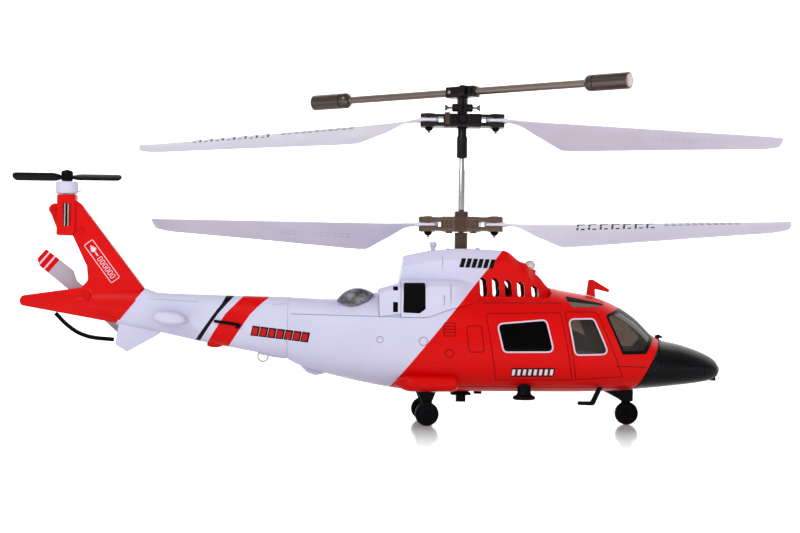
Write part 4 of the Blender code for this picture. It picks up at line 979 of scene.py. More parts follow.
def cowling():
    """Hollow cowling with its pods, slots and intakes."""
    cowl = piece("cowling_shell", "airframe", cowl_solid(0.0), SHELL, "engine_cowling")
    lid = [(1.35, 47.8), (1.4, 48.75), (9.0, 50.35), (9.0, 49.4)]
    join(cowl, pod(-1), pod(1), prism(fillet(lid, 0.2, 2, skip=(2, 3)), -6.3, 6.3, "y", 0.25))
    stations = spaced(COWL_FROM + WALL, COWL_TO - 2.6, 1.3)
    inner = loft([cowl_ring(x, WALL, COWL_FLOOR - 1) for x in stations])
    pod_room = []
    for side in (-1, 1):
        hollow = [(0, 40.8), (11.9, 40.6), (13.6, 39.2), (14.6, 36.0), (15.0, 29), (0, 29)]
        pod_room.append(prism([(side * y, z) for y, z in hollow], POD_FROM + WALL, POD_BLEND - WALL, "x"))
    slots = []
    for middle, top in COWL_SLOTS:
        half = SLOT_WIDTH / 2
        outline = [(middle - half + 0.1, SLOT_FLOOR), (middle + half + 0.2, SLOT_FLOOR),
                   (middle + half - 0.2, top - 0.8), (middle, top), (middle - half - 0.2, top)]
        slots.append(prism(fillet(outline, 0.85, 5), -20, 20))
    collar = cylinder(2.75, 45, 55, (MAST_X, 0, 0))
    opening = fillet([(1.3, 40.8), (7.5, 40.9), (7.6, 33.3), (5.9, 32.0), (1.2, 32.2)], 0.45, 4)
    intakes = [side_prism(opening, side, 14.2, 18) for side in (-1, 1)]
    cut(cowl, inner, *pod_room, collar, *intakes)
    only_triangles(cowl)
    for slot in slots:
        cut(cowl, slot)
    lines = []
    for side in (-1, 1):
        lines += [line_cutter([(12.6, 48.8), (12.6, 44.7)], side, cowl_side, width=0.16, depth=0.12),
                  line_cutter([(14.8, 41.0), (14.8, 33.8)], side, cowl_side, width=0.2, depth=0.35),
                  line_cutter([(12.9, 37.2), (12.9, 34.2)], side, cowl_side, width=0.42)]
    # The lines' walls take a darker colour: painted shade in the grooves.
    cut(cowl, *lines, finish=SHELL_GROOVE_SHADE)


def intake(side_name, side):
    """Dark panel with a fine grille in front of it."""
    outline = fillet([(1.3, 40.7), (7.4, 40.8), (7.5, 33.3), (5.9, 32.1), (1.3, 32.3)], 0.45, 4)
    low, high = span(side, 14.9, 15.2)
    solids = [prism(outline, low, high)]
    for x in spaced(1.8, 7.0, 0.65):
        bottom = 32.5 + max(0.0, (x - 5.7) * 0.8)
        low, high = span(side, 15.2, 15.42)
        solids.append(box(x - 0.1, x + 0.1, low, high, bottom, 39.3))
    for z in spaced(32.9, 39.2, 0.65):
        end = 7.2 if z > 33.6 else 6.2
        low, high = span(side, 15.43, 15.6)
        solids.append(box(1.5, end, low, high, z - 0.09, z + 0.09))
    piece(f"intake_grille_{side_name}", "airframe", merged(*solids), DULL_BLACK, f"intake_{side_name}")


def exhaust(side_name, side):
    """Smoked leaf-shaped blister in a white rim, tilted up towards the front."""
    def leaf(centre, long, tall, deep):
        rings = []
        tilt = radians(11)
        for i in range(1, 30):
            along = -cos(pi * i / 30)
            size = (1 - along * along) ** 0.85
            ring = []
            for k in range(32):
                angle = 2 * pi * k / 32
                u, v = long * along, tall * size * sin(angle)
                ring.append((centre[0] + u * cos(tilt) - v * sin(tilt),
                             side * (centre[1] + deep * size * cos(angle)),
                             centre[2] + u * sin(tilt) + v * cos(tilt)))
            rings.append(ring)
        return loft(rings)

    rim = piece(f"exhaust_rim_{side_name}", "airframe", leaf((-12.5, 8.3, 36.3), 5.75, 2.95, 3.0),
                WHITE_PLASTIC)
    cut(rim, body_solid(0.4, -24, 0.7))
    blister = piece(f"exhaust_blister_{side_name}", "airframe", leaf((-12.5, 8.7, 36.3), 5.5, 2.75, 3.0),
                    EXHAUST_SMOKE, f"exhaust_{side_name}")
    cut(blister, body_solid(0.3, -24, 0.7))


# ---- Boom ----
def boom_section(x):
    """Middle height, half height and half width of the boom at x."""
    top, bottom, width = (smooth_value(points, x) for points in (BOOM_TOP, BOOM_BOTTOM, BOOM_WIDTH))
    return (top + bottom) / 2, (top - bottom) / 2, width


def boom_ring(x, depth=0.0, grow=1.0, count=48):
    """Section of the boom."""
    middle, half, width = boom_section(x)
    ring = []
    for i in range(count):
        angle = 2 * pi * i / count
        across = abs(cos(angle)) ** (2 / BOOM_ROUND) * (width - depth) * grow
        up = abs(sin(angle)) ** (2 / BOOM_ROUND) * (half - depth) * grow
        ring.append((x, copysign(across, cos(angle)), middle + copysign(up, sin(angle))))
    return ring


def boom_side(x, z):
    """Half width of the boom at a point of its side view."""
    middle, half, width = boom_section(x)
    return width * max(1 - min(abs(z - middle) / half, 1) ** BOOM_ROUND, 0) ** (1 / BOOM_ROUND)


def tail_side(x, z):
    """Half width where markings cross from the boom to the fuselage."""
    return boom_side(x, z) if x < -32.15 else skin(x, z)


def tail_boom():
    """Hollow boom with its ventral fin, skid mount and eyelet."""
    boom = piece("boom_shell", "airframe", loft([boom_ring(x) for x in spaced(-83, -32.06, 1.6)]), BOOM_PAINT,
                 "tail_boom")
    ventral_fin = [(-81.4, 28.6), (-82.4, 21.9), (-79.0, 19.8), (-70.0, 24.9), (-67.5, 27.0), (-74, 29.0)]
    bump = turned([(0, -2.6), (1.3, -2.2), (1.7, -0.8), (1.7, 0.8), (1.3, 2.2), (0, 2.6)], (-53.4, 0, 23.0),
                  "x", 24)
    mount = [(-41.2, 21.5), (-40.8, 19.6), (-37.0, 18.8), (-32.4, 18.2), (-32.4, 20.5)]
    mount = prism(fillet(mount, 0.4, 3), -0.8, 0.8, "y", 0.2)
    join(boom, prism(fillet(ventral_fin, 0.8, 4, skip=(0, 4, 5)), -1.15, 1.15, "y", 0.4), bump, mount)
    cut(boom, loft([boom_ring(x, 0.9) for x in spaced(-84, -32, 2)]), joint_wedge(FIN_JOINT, -GAP, False))
    lines = []
    for side in (-1, 1):
        for path in ([(-72.5, 35.3), (-58.0, 34.6)], [(-36.5, 34.2), (-32.5, 34.3)]):
            lines.append(line_cutter(path, side, boom_side, width=0.16, depth=0.12))
    # The lines' walls take a darker colour: painted shade in the grooves.
    cut(boom, *lines, finish=GROOVE_SHADE_ON_WHITE)
    ring = [(x, 0, z) for x, z in circle((-39.3, 18.9), 1.5, 32)]
    piece("boom_eyelet", "airframe", tube_along(ring, 0.26, 10, True), STEEL)


def boom_rail(side_name, side):
    """Black grab rail with a bent front end."""
    path = []
    for x, z, lift in ((-53.3, 29.1, 0.25), (-52.0, 28.9, 0.45), (-49.0, 28.5, 0.45), (-46.4, 28.1, 0.45),
                       (-45.8, 27.9, 0.3), (-46.2, 27.5, 0.1), (-46.9, 27.2, -0.2)):
        path.append((x, side * (boom_side(x, z) + lift), z))
    rail = tube_along(path, [0.4, 0.45, 0.45, 0.45, 0.45, 0.42, 0.4], 14)
    piece(f"boom_rail_{side_name}", "airframe", rail, DULL_BLACK)


def stabiliser(side_name, side):
    """Oval stub with a raised ring round its flat end."""
    sizes = [(4.6, 1.0), (8.0, 0.99), (11.8, 0.97), (12.7, 0.93), (13.3, 0.83), (13.6, 0.66), (13.7, 0.4)]
    rings = [oval_at(side * reach, scale) for reach, scale in sizes]
    stub = piece(f"stabiliser_stub_{side_name}", "airframe", loft(rings), WHITE_PLASTIC,
                 f"stabiliser_{side_name}")
    channel = [oval_at(side * reach, scale) for reach, scale in
               ((12.9, 0.965), (12.9, 0.9), (13.9, 0.9), (13.9, 0.965))]
    around = [[channel[k][i] for k in range(4)] for i in range(len(channel[0]))]
    # The channel's walls take a darker colour: painted shade in the groove.
    cut(stub, loft(around, closed=True), finish=GROOVE_SHADE_ON_WHITE)


def oval_at(reach, scale):
    """Section of a tail stub, tilted down towards the front."""
    ring = []
    for i in range(48):
        angle = 2 * pi * i / 48
        along, up = 5.0 * scale * cos(angle), 1.88 * scale * sin(angle)
        ring.append((-65.8 + along * cos(STUB_LEAN) + up * sin(STUB_LEAN), reach,
                     29.8 - along * sin(STUB_LEAN) + up * cos(STUB_LEAN)))
    return ring


# ---- Fin ----
def fin_flat(x, z):
    """Side of the fin, or of the motor holder on it."""
    return 2.6 if x < -94.6 and z > 54.2 else 1.9


def fin_half(side_name, side):
    """One half of the fin, with the motor holder, fairing, lug and screw bosses."""
    outline = fillet(FIN_OUTLINE, 1.3, 5, skip=(2, 3))
    half = piece(f"fin_half_{side_name}", "airframe", rimmed(outline, side, 1.9), RED_PLASTIC,
                 f"tail_fin_{side_name}")
    cone = []
    for x, up, across, middle in ((-97.5, 1.3, 1.7, 34.4), (-94, 2.2, 2.0, 34.3), (-90, 3.2, 2.35, 34.0),
                                  (-86, 4.2, 2.75, 33.6), (-82, 5.1, 3.1, 33.2), (-78, 5.7, 3.35, 32.8),
                                  (-73, 6.1, 3.6, 32.3), (-70, 6.1, 3.7, 31.9)):
        ring = []
        for i in range(44):
            angle = 2 * pi * i / 44
            ring.append((x, copysign(abs(cos(angle)) ** 0.9 * across, cos(angle)),
                         middle + copysign(abs(sin(angle)) ** 0.9 * up, sin(angle))))
        cone.append(ring)
    fairing = piece("fairing", "airframe", loft(cone), RED_PLASTIC)
    near, far = span(side, 0.2, 30)
    keep(fairing, box(-99, -60, near, far, 10, 60))
    cut(fairing, joint_wedge(FIN_JOINT, 0.0, True))
    holder = rimmed(fillet(HOLDER_OUTLINE, 0.4, 3, skip=(3, 4)), side, 2.6, near=0.15)
    lug = moved(mirrored(turned([(0, 0.17), (1.55, 0.17), (1.55, 1.3), (1.35, 1.5), (0, 1.5)], (0, 0, 0),
                                "y", 32),
                         side), -100.7, 0, 61.2)
    web = rimmed(LUG_WEB, side, 1.2, 0.2, near=0.19)
    ridge = rimmed([(-94.0, 62.6), (-93.2, 62.8), (-75.0, 39.3), (-75.8, 39.0)], side, 2.15, 0.3, near=0.6)
    bosses = []
    for x, z, surface in ((-92.8, 54.8, 1.9), (-90.7, 35.9, 2.3), (-100.7, 61.2, 1.5)):
        radius = 1.15 if surface != 1.5 else 0.75
        shape = [(0, surface - 0.6), (radius, surface - 0.6), (radius, surface + 0.22),
                 (radius - 0.2, surface + 0.4),
                 (radius * 0.55, surface + 0.4), (radius * 0.42, surface + 0.12), (0, surface + 0.12)]
        bosses.append(moved(mirrored(turned(shape, (0, 0, 0), "y", 28), side), x, 0, z))
    fairing_solid = mesh_solid(fairing)
    bpy.data.objects.remove(fairing)
    join(half, fairing_solid, holder, web, lug, ridge, *bosses)
    cut(half, cylinder(2.15, 55.2, 70, (TAIL_AXIS.x, 0, 0), "z", 40),
        side_prism(fillet([(-98.0, 56.2), (-95.7, 56.2), (-95.7, 62.9), (-98.0, 62.9)], 0.3, 3), side, 0.5,
                   5))
    if side > 0:
        join(half, cylinder(0.9, 1.0, SIDE_AXIS.y + 1.3, (SIDE_AXIS.x, 0, SIDE_AXIS.z), "y", 32))


def rimmed(outline, side, thick, bevel=0.35, near=0.12):
    """Plate from near the middle plane to one side, with its outer rim rounded."""
    quarter = [(1 - cos(pi / 2 * k / 3), 1 - sin(pi / 2 * k / 3)) for k in range(4)]
    rings = [[(a, side * near, b) for a, b in outline]]
    for up, back in reversed(quarter):
        ring = offset(outline, -bevel * back)
        rings.append([(a, side * (thick - bevel * up), b) for a, b in ring])
    return loft(rings)


def mesh_solid(made):
    """Points and faces of an object's mesh, in millimetres."""
    mesh = made.data
    return [tuple(v.co / MM) for v in mesh.vertices], [tuple(p.vertices) for p in mesh.polygons]


def fin_label(side_name, side):
    """Plain notice on the fin: outlined box with an arrow and blank bars."""
    start, end = Vector((-90.6, 51.6)), Vector((-82.4, 40.6))
    along = (end - start).normalized()
    across = Vector((-along.y, along.x)) * 1.0
    long = (end - start).length

    def quad(a, b, low, high):
        """Patch from a to b along the label, low to high across it."""
        places = ((a, low), (b, low), (b, high), (a, high))
        return printed([tuple(start + along * p + across * q) for p, q in places], side, fin_flat, steps=2)

    half, line = 1.57, 0.2
    marks = [quad(0, long, -half, -half + line), quad(0, long, half - line, half), quad(0, line, -half, half),
             quad(long - line, long, -half, half)]
    marks += [quad(1.3, 1.9, -0.25, 0.25), quad(1.9, 2.5, -0.6, 0.6), quad(2.5, 3.0, -0.85, 0.85),
              quad(3.0, 3.4, -0.4, 0.4), quad(3.6, 4.9, -0.2, 0.2)]
    for i in range(6):
        a = 5.5 + 1.25 * i
        marks += [quad(a, a + 0.95, -0.8, -0.62), quad(a, a + 0.95, 0.62, 0.8), quad(a, a + 0.18, -0.8, 0.8),
                  quad(a + 0.77, a + 0.95, -0.8, 0.8)]
    piece(f"fin_label_{side_name}", "airframe", merged(*marks), PRINT_WHITE)


def tail_drive():
    """Motor can, its white collar and a short wire tab."""
    centre = (TAIL_AXIS.x, 0, 0)
    can = [(0, 55.5), (1.6, 55.5), (1.95, 55.8), (1.95, 65.0), (1.7, 65.3), (0, 65.3)]
    piece("tail_motor_can", "airframe", turned(can, centre, segments=48), MOTOR_STEEL, "tail_motor")
    vent = []
    for side in (-1, 1):
        low, high = span(side, 1.62, 1.97)
        vent.append(box(TAIL_AXIS.x - 0.05, TAIL_AXIS.x + 0.6, low, high, 56.2, 64.4))
    piece("tail_motor_vent", "airframe", merged(*vent), PRINT_BLACK)
    cap = fillet([(0.8, 65.8), (3.0, 65.8), (3.3, 66.2), (3.3, 68.9), (2.9, 69.3), (0.8, 69.3)], 0.25, 3)
    piece("tail_motor_collar", "airframe", turned(cap, centre, segments=56), WHITE_PLASTIC, "tail_motor_cap")
    tab = [(TAIL_AXIS.x + 3.1, 0.0, 66.6), (TAIL_AXIS.x + 3.8, 0.0, 66.5), (TAIL_AXIS.x + 4.3, 0.0, 66.8),
           (TAIL_AXIS.x + 4.2, 0.0, 67.3), (TAIL_AXIS.x + 3.6, 0.0, 67.2)]
    piece("tail_motor_wire", "airframe", tube_along(tab, 0.2, 10), WHITE_PLASTIC)


def tail_propeller():
    """Two twisted blades on a notched hub."""
    rings = []
    for share in [-1.0, -0.99, -0.975, *spaced(-0.95, 0.95, 0.05), 0.975, 0.99, 1.0]:
        reach = abs(share)
        half = 1.1 + 1.05 * min(max(reach - 0.08, 0) / 0.14, 1)
        half *= max(1 - max((reach - 0.93) / 0.07, 0) ** 2, 0.12) ** 0.5
        pitch = radians(30) * (1 if share > 0 else -1) * min(reach * 8, 1)
        section = [(-half, 0.0), (-0.6 * half, 0.24), (0, 0.34), (0.6 * half, 0.24), (half, 0.0),
                   (0.5 * half, -0.1),
                   (0, -0.12), (-0.5 * half, -0.1)]
        rings.append([(TAIL_AXIS.x + share * 15.9, a * cos(pitch) - b * sin(pitch),
                       70.7 + a * sin(pitch) + b * cos(pitch)) for a, b in section])
    prop = piece("tail_propeller_blades", "tail_prop", loft(rings), TRIM_BLACK, "tail_propeller")
    hub = [(0, 66.0), (0.45, 66.0), (0.45, 69.3), (1.2, 69.4), (1.65, 69.7), (1.75, 70.2), (1.75, 71.9),
           (1.6, 72.4), (1.2, 72.6), (0.6, 72.7), (0.5, 72.85), (0, 72.85)]
    join(prop, turned(hub, (TAIL_AXIS.x, 0, 0), "z", 32))
    notches = [turn_about(box(TAIL_AXIS.x + 1.45, TAIL_AXIS.x + 3, -0.25, 0.25, 71.6, 73), angle, TAIL_AXIS.x)
               for angle in (45, 135, 225, 315)]
    cut(prop, *notches)


def side_rotor():
    """Two-blade rotor with banded tips on the fin's port side."""
    x, middle, z = SIDE_AXIS
    reach = 19.4

    def turned_points(points):
        lean = radians(SIDE_ROTOR_ANGLE)
        return [(x + a * cos(lean) - b * sin(lean), z + a * sin(lean) + b * cos(lean)) for a, b in points]

    outline = [(-reach, -2.3), (-9.2, -2.8), (-6.4, -1.2), (6.4, -1.2), (9.2, -2.8), (reach, -2.3),
               (reach + 0.1, 1.5), (reach - 1.6, 2.7), (4, 2.3), (2.2, 2.1), (-2.2, 2.1), (-4, 2.3),
               (-reach + 1.6, 2.7), (-reach - 0.1, 1.5)]
    bands = []
    for low, high, colour in ((14.3, 21, RED), (15.7, 16.2, WHITE), (17.7, 18.2, WHITE)):
        for end in (-1, 1):
            quad = [(end * low, -4), (end * low, 4), (end * high, 4), (end * high, -4)]
            bands.append((colour, turned_points(quad if end > 0 else quad[::-1])))
    paint = plastic("side_rotor_paint", (0.42, 0.395, 0.47), 0.4, 0.0, 0.03, 0.3, bands, 0.06)
    shape = fillet(turned_points(outline), 0.5, 3)
    rotor = piece("side_rotor_blades", "side_prop", prism(shape, middle - 0.4, middle + 0.4, "y", 0.2), paint,
                  "side_rotor")
    hub = [(0, middle - 0.8), (2.3, middle - 0.8), (2.4, middle - 0.5), (2.4, middle + 0.5),
           (2.1, middle + 0.9),
           (0, middle + 0.9)]
    join(rotor, turned(hub, (x, 0, z), "y", 40))
    cut(rotor, cylinder(1.0, 0, 9, (x, 0, z), "y", 32))
    nut = [(0, middle + 0.95), (1.35, middle + 0.95), (1.35, middle + 1.5), (0.9, middle + 1.9),
           (0, middle + 1.9)]
    piece("side_rotor_cap", "airframe", turned(nut, (x, 0, z), "y", 24), DULL_BLACK)


def tail_hoop():
    """Wire guard that hangs below the tail."""
    knots = [(0, -100.0, 30.8), (1, -96.4, 27.3), (2, -92.6, 24.9), (3, -88.7, 23.8), (4, -82.9, 23.3)]
    path = []
    for t in spaced(0, 4, 0.1):
        path.append((smooth_value([(k, x) for k, x, z in knots], t), 0,
                     smooth_value([(k, z) for k, x, z in knots], t)))
    piece("tail_hoop_wire", "airframe", tube_along(path, 0.62, 18), DULL_BLACK, "tail_hoop")


# ---- Fittings ----
def fittings():
    """Roof lamp, horn, step, belly lamp, knob, screws and inner bracket."""
    dome = [(0, 43.0), (1.2, 43.0), (1.2, 45.3), *[(1.6 * sin(radians(a)), 46.5 - 1.6 * cos(radians(a)))
                                                   for a in range(50, 180, 10)], (0, 48.1)]
    lamp = piece("roof_lamp", "airframe", turned(dome, (38.9, 0, 0), "z", 40), CLEAR, "dome_lamp")
    cut(lamp, cowl_solid(0.1))
    ring = fillet([(1.3, 44.0), (1.85, 44.0), (1.85, 45.3), (1.3, 45.3)], 0.1, 3)
    piece("roof_lamp_ring", "airframe", turned(ring, (38.9, 0, 0), "z", 40), RED_PLASTIC)
    bulb = [(0, 43.6), (0.6, 43.6), (0.6, 45.3), (0.45, 45.9), (0.2, 46.2), (0, 46.25)]
    piece("roof_lamp_bulb", "airframe", turned(bulb, (38.9, 0, 0), "z", 24), PRINT_GREY)
    horn = [(55.4, 36.0), (58.5, 36.0), (58.2, 39.9), (62.3, 38.9), (62.6, 39.7), (57.5, 42.7), (56.3, 42.5)]
    cutter = piece("roof_horn", "airframe", prism(fillet(horn, 0.35, 4, skip=(0, 1)), -0.65, 0.65, "y", 0.2),
                   RED_PLASTIC, "wire_cutter")
    cut(cutter, body_solid(-0.2, 50, 68))
    step = [(59.6, 12.5), (58.2, 12.5), (55.6, 7.3), (51.9, 7.3), (51.9, 6.2), (56.2, 6.1), (56.8, 6.4)]
    foot = piece("side_step", "airframe", prism(fillet(step, 0.35, 3, skip=(0, 1)), -12.2, -11.0, "y", 0.2),
                 TRIM_BLACK, "boarding_step")
    cut(foot, body_solid(-0.2, 44.7, 66))
    profile = [(0, 7.5), (2.4, 7.5), (3.0, 7.65), (3.3, 8.0), (3.25, 8.5), (2.2, 9.1), (1.95, 9.6),
               (1.95, 14), (0, 14)]
    belly = piece("under_lamp", "airframe", turned(profile, (36.3, -12.6, 0), "z", 40), TRIM_BLACK,
                  "belly_lamp")
    cut(belly, body_solid(-0.2, 28, 46))
    mushroom = [(0, 48.6), (0.75, 48.6), (0.75, 51.6), (0.95, 51.7), (1.1, 52.2), (1.05, 52.8),
                (0.75, 53.15), (0, 53.3)]
    piece("cowling_knob", "airframe", turned(mushroom, (10.3, 0, 0), "z", 32), WHITE_PLASTIC)
    for x, top in ((14.8, 50.95), (23.3, 51.15)):
        head = [(0, 50.2), (0.75, 50.2), (0.75, top), (0.55, top + 0.25), (0, top + 0.28)]
        screw = piece(f"cowling_screw_{round(x)}", "airframe", turned(head, (x, -1.6, 0), "z", 24), SCREW)
        cut(screw, box(x - 0.1, x + 0.1, -2.2, -1.0, top + 0.1, top + 1))
    bracket = prism(fillet([(28.6, 36.8), (32.4, 36.8), (32.9, 39.0), (31.2, 41.6), (29.9, 40.2),
                            (29.2, 38.6)],
                           0.4, 3), -1.5, 1.5, "y", 0.2)
    piece("inner_bracket", "airframe", bracket, DULL_BLACK)


def marks():
    """Plain bars where the real object has printed words."""
    for side_name, side in (("right", -1), ("left", 1)):
        bars, edges = [], []
        for i in range(7):
            x, z = -42.5 + 2.42 * i, 25.3 - 0.26 * i
            edges.append([(x - 0.3, z - 0.3), (x + 2.0, z - 0.52), (x + 2.6, z + 2.35), (x + 0.35, z + 2.6)])
            bars.append([(x + 0.1, z + 0.02), (x + 1.6, z - 0.14), (x + 2.05, z + 1.95),
                         (x + 0.55, z + 2.12)])
        piece(f"tail_mark_edge_{side_name}", "airframe",
              merged(*[printed(q, side, tail_side, 0.03, 3) for q in edges]), PRINT_BLACK)
        piece(f"tail_mark_{side_name}", "airframe",
              merged(*[printed(q, side, tail_side, 0.07, 3) for q in bars]), PRINT_RED)
        cowl_bars = slanted_bars((17.4, 45.5), (1.25, 2.6), 6, (1.75, -0.03), 0.75, side, cowl_side, 0.18)
        piece(f"cowling_mark_{side_name}", "airframe", cowl_bars, PRINT_BLACK)
        door_back = slanted_bars((31.9, 14.3), (1.45, 2.5), 8, (1.55, 0.02), 0.35, side)
        piece(f"door_mark_edge_{side_name}", "airframe", door_back, PRINT_BLACK)
        quads = []
        for i in range(8):
            x, z = 32.25 + 1.55 * i, 14.7 + 0.02 * i
            quads.append([(x, z), (x + 0.85, z), (x + 1.05, z + 1.7), (x + 0.2, z + 1.7)])
        piece(f"door_mark_{side_name}", "airframe", merged(*[printed(q, side, skin, 0.07, 2) for q in quads]),
              PRINT_WHITE)


# ---- Landing gear ----
def wheel(node, body, x, y, outward):
    """Tyre with a rim, a dished face and a hub boss on its outward side."""
    half, radius, axle = 1.3, WHEEL_RADIUS, AXLE_Z
    tyre = [(0.7, -half), (1.25, -half - 0.1), (1.35, -half + 0.25), (2.45, -half + 0.35), (2.7, -half),
            (2.95, -half), (3.25, -half + 0.2), (radius, -half + 0.6), (radius, half - 0.6),
            (3.25, half - 0.2),
            (2.95, half), (2.7, half), (2.45, half - 0.35), (1.35, half - 0.25), (1.25, half + 0.1),
            (0.7, half)]
    shape = turned(fillet(tyre, 0.12, 2), (x, y, axle), "y", 72)
    made = piece(f"{node}_tyre", body, shape, RUBBER, node)
    grooves = []
    for across in (-0.45, 0.45):
        ring = [(radius - 0.12, across - 0.1), (radius + 1, across - 0.1), (radius + 1, across + 0.1),
                (radius - 0.12, across + 0.1)]
        grooves.append(turned(ring, (x, y, axle), "y", 72))
    cut(made, *grooves)
    for side in outward:
        cap = [(0, half - 0.3), (0.66, half - 0.3), (0.66, half + 0.2), (0.5, half + 0.32), (0, half + 0.34)]
        solid = moved(mirrored(turned(cap, (0, 0, 0), "y", 28), side), x, y, axle)
        piece(f"{node}_axle_end_{'left' if side > 0 else 'right'}", "airframe", solid, DULL_BLACK)


def main_gear(side_name, side):
    """Strut with its brace and axle, and its wheel."""
    x, y = MAIN_WHEEL
    leg = [(5.0, 14.2), (12.0, 14.2), (11.1, 9.9), (9.9, 6.9), (9.4, 2.6), (8.9, 2.2), (7.7, 2.2), (7.2, 2.6),
           (6.8, 6.9), (5.6, 9.9)]
    inner, outer = y - 1.3 - 1.7, y - 1.3 - 0.3
    low, high = span(side, inner, outer)
    strut = piece(f"main_leg_{side_name}", "airframe", prism(fillet(leg, 0.5, 3, skip=(0, 1)), low, high,
                                                             "y", 0.25),
                  TRIM_BLACK, f"main_strut_{side_name}")
    low, high = span(side, inner + 0.5, y + 1.3)
    brace_low, brace_high = span(side, inner - 0.9, inner + 0.4)
    brace = prism(fillet([(6.4, 14.2), (10.4, 14.2), (9.6, 9.0), (8.9, 6.6), (7.9, 6.6), (7.2, 9.0)], 0.4, 3,
                         skip=(0, 1)),
                  brace_low, brace_high, "y", 0.2)
    join(strut, cylinder(0.6, low, high, (x, 0, AXLE_Z), "y", 32), brace)
    cut(strut, body_solid(-0.2, -7, 22), sponson(side, 0.2))
    wheel(f"main_wheel_{side_name}", f"{side_name}_wheel", x, side * y, (side,))


def nose_gear():
    """Offset fork leg with its axle, and the nose wheel."""
    x = pivot("nose_wheel_roll").x
    leg = [(60.2, 12.7), (69.7, 12.7), (69.6, 6.8), (69.1, 6.2), (69.0, 2.6), (68.5, 2.2), (67.3, 2.2),
           (66.8, 2.6),
           (66.7, 7.0), (61.0, 9.9)]
    strut = piece("nose_leg", "airframe", prism(fillet(leg, 0.4, 3, skip=(0, 1)), 1.6, 2.9, "y", 0.25),
                  TRIM_BLACK,
                  "nose_strut")
    block = [(60.6, 12.7), (69.7, 12.7), (69.6, 6.9), (66.9, 6.7), (61.4, 10.0)]
    join(strut, prism(fillet(block, 0.4, 3, skip=(0, 1)), -1.6, 2.0, "y", 0.2),
         cylinder(0.6, -1.3, 2.2, (x, 0, AXLE_Z), "y", 32))
    cut(strut, body_solid(-0.2, 56, 78))
    wheel("nose_wheel", "front_wheel", x, 0.0, (-1,))


# ---- Shafts and hubs ----
def at_mast(solid):
    return moved(solid, MAST_X)


def on_mast(solid, yaw):
    """The solid moved to the mast and turned about it."""
    return turn_about(at_mast(solid), yaw)


def shafts():
    """Inner rod with a thick sleeve, and the outer tube round it."""
    rod = [(0, 12.2), (0.83, 12.2), (0.83, 62.4), (0.95, 62.6), (1.03, 62.7), (1.03, 74.2), (0.95, 74.4),
           (0.85, 74.6),
           (0.83, 84.0), (0, 84.0)]
    piece("inner_shaft_rod", "upper_rotor", at_mast(turned(rod, segments=48)), STEEL, "inner_shaft")
    tube = [(1.15, 18.2), (1.95, 18.2), (1.95, 55.9), (1.15, 55.9)]
    piece("outer_shaft_tube", "lower_rotor", at_mast(turned(tube, segments=48)), HUB_SMOKE, "outer_shaft")


def fork_outline():
    """Long plate with cut corners."""
    return fillet([(-12.4, -2.2), (-11.4, -3.0), (11.4, -3.0), (12.4, -2.2), (12.4, 2.2), (11.4, 3.0),
                   (-11.4, 3.0),
                   (-12.4, 2.2)], 0.7, 3)


def fork(name, body, node, plates, block, yaw, finish):
    """Blade holder: two plates joined by a ribbed middle block and by a pin near each end."""
    shape = piece(name, body, on_mast(prism(fork_outline(), *plates, "z", 0.25), yaw), finish, node)
    cuts, adds = [], []
    for end in (-1, 1):
        near, far = span(end, 5.6, 20)
        cuts.append(box(near, far, -8, 8, *block))
        for across in (-1, 1):
            for k in range(3):
                middle = end * (2.6 + 1.25 * k)
                low, high = span(across, 2.45, 4)
                cuts.append(box(middle - 0.4, middle + 0.4, low, high, block[0] - 0.35, block[1] + 0.35))
        near, far = span(end, 5.4, 8.2)
        cuts.append(box(near, far, -8, 8, plates[1] - 0.18, plates[1] + 1))
        cuts.append(box(near, far, -8, 8, plates[0] - 1, plates[0] + 0.18))
        adds.append(cylinder(0.7, block[0] - 0.3, block[1] + 0.3, (end * FOLD_RADIUS, 0, 0)))
    cut(shape, *[on_mast(solid, yaw) for solid in cuts])
    join(shape, *[on_mast(solid, yaw) for solid in adds])
    return shape


def fork_hardware(name, body, plates, yaw):
    """Screw heads on top of a fork and tapered nuts below it."""
    low, high = plates
    nuts, heads = [], []
    for end in (-1, 1):
        place = (end * FOLD_RADIUS, 0, 0)
        nut = [(0, low + 0.1), (1.15, low + 0.1), (1.2, low - 0.35), (0.95, low - 0.75), (0.5, low - 1.1),
               (0, low - 1.1)]
        nuts.append(turned(nut, place, "z", 28))
        heads.append(turned([(0, low - 1.0), (0.4, low - 1.0), (0.4, low - 1.6), (0.28, low - 1.75),
                             (0, low - 1.75)],
                            place, "z", 20))
        head = [(0, high - 0.1), (1.3, high - 0.1), (1.3, high + 0.12), (1.0, high + 0.3), (0, high + 0.32)]
        heads.append(turned(head, place, "z", 28))
    piece(f"{name}_nuts", body, on_mast(merged(*nuts), yaw), DULL_BLACK)
    piece(f"{name}_screws", body, on_mast(merged(*heads), yaw), SCREW)


def lower_hub():
    """Smoked blade holder on the outer shaft."""
    made = fork("lower_blade_holder", "lower_rotor", "lower_hub", (56.2, 60.6), (57.6, 59.0), LOWER_YAW,
                HUB_SMOKE)
    bumps = [at_mast(cylinder(1.0, 55.75, 56.6, (x, 0, 0))) for x in (-3.6, 3.6)]
    join(made, at_mast(cylinder(2.05, 60.0, 62.2)), *[turn_about(b, LOWER_YAW) for b in bumps])
    cut(made, at_mast(cylinder(1.15, 50, 65)))
    core = [(1.16, 56.6), (1.7, 56.6), (1.7, 61.9), (1.16, 61.9)]
    piece("lower_hub_core", "lower_rotor", at_mast(turned(core, segments=40)), DULL_BLACK)
    fork_hardware("lower_holder", "lower_rotor", (56.2, 60.6), LOWER_YAW)


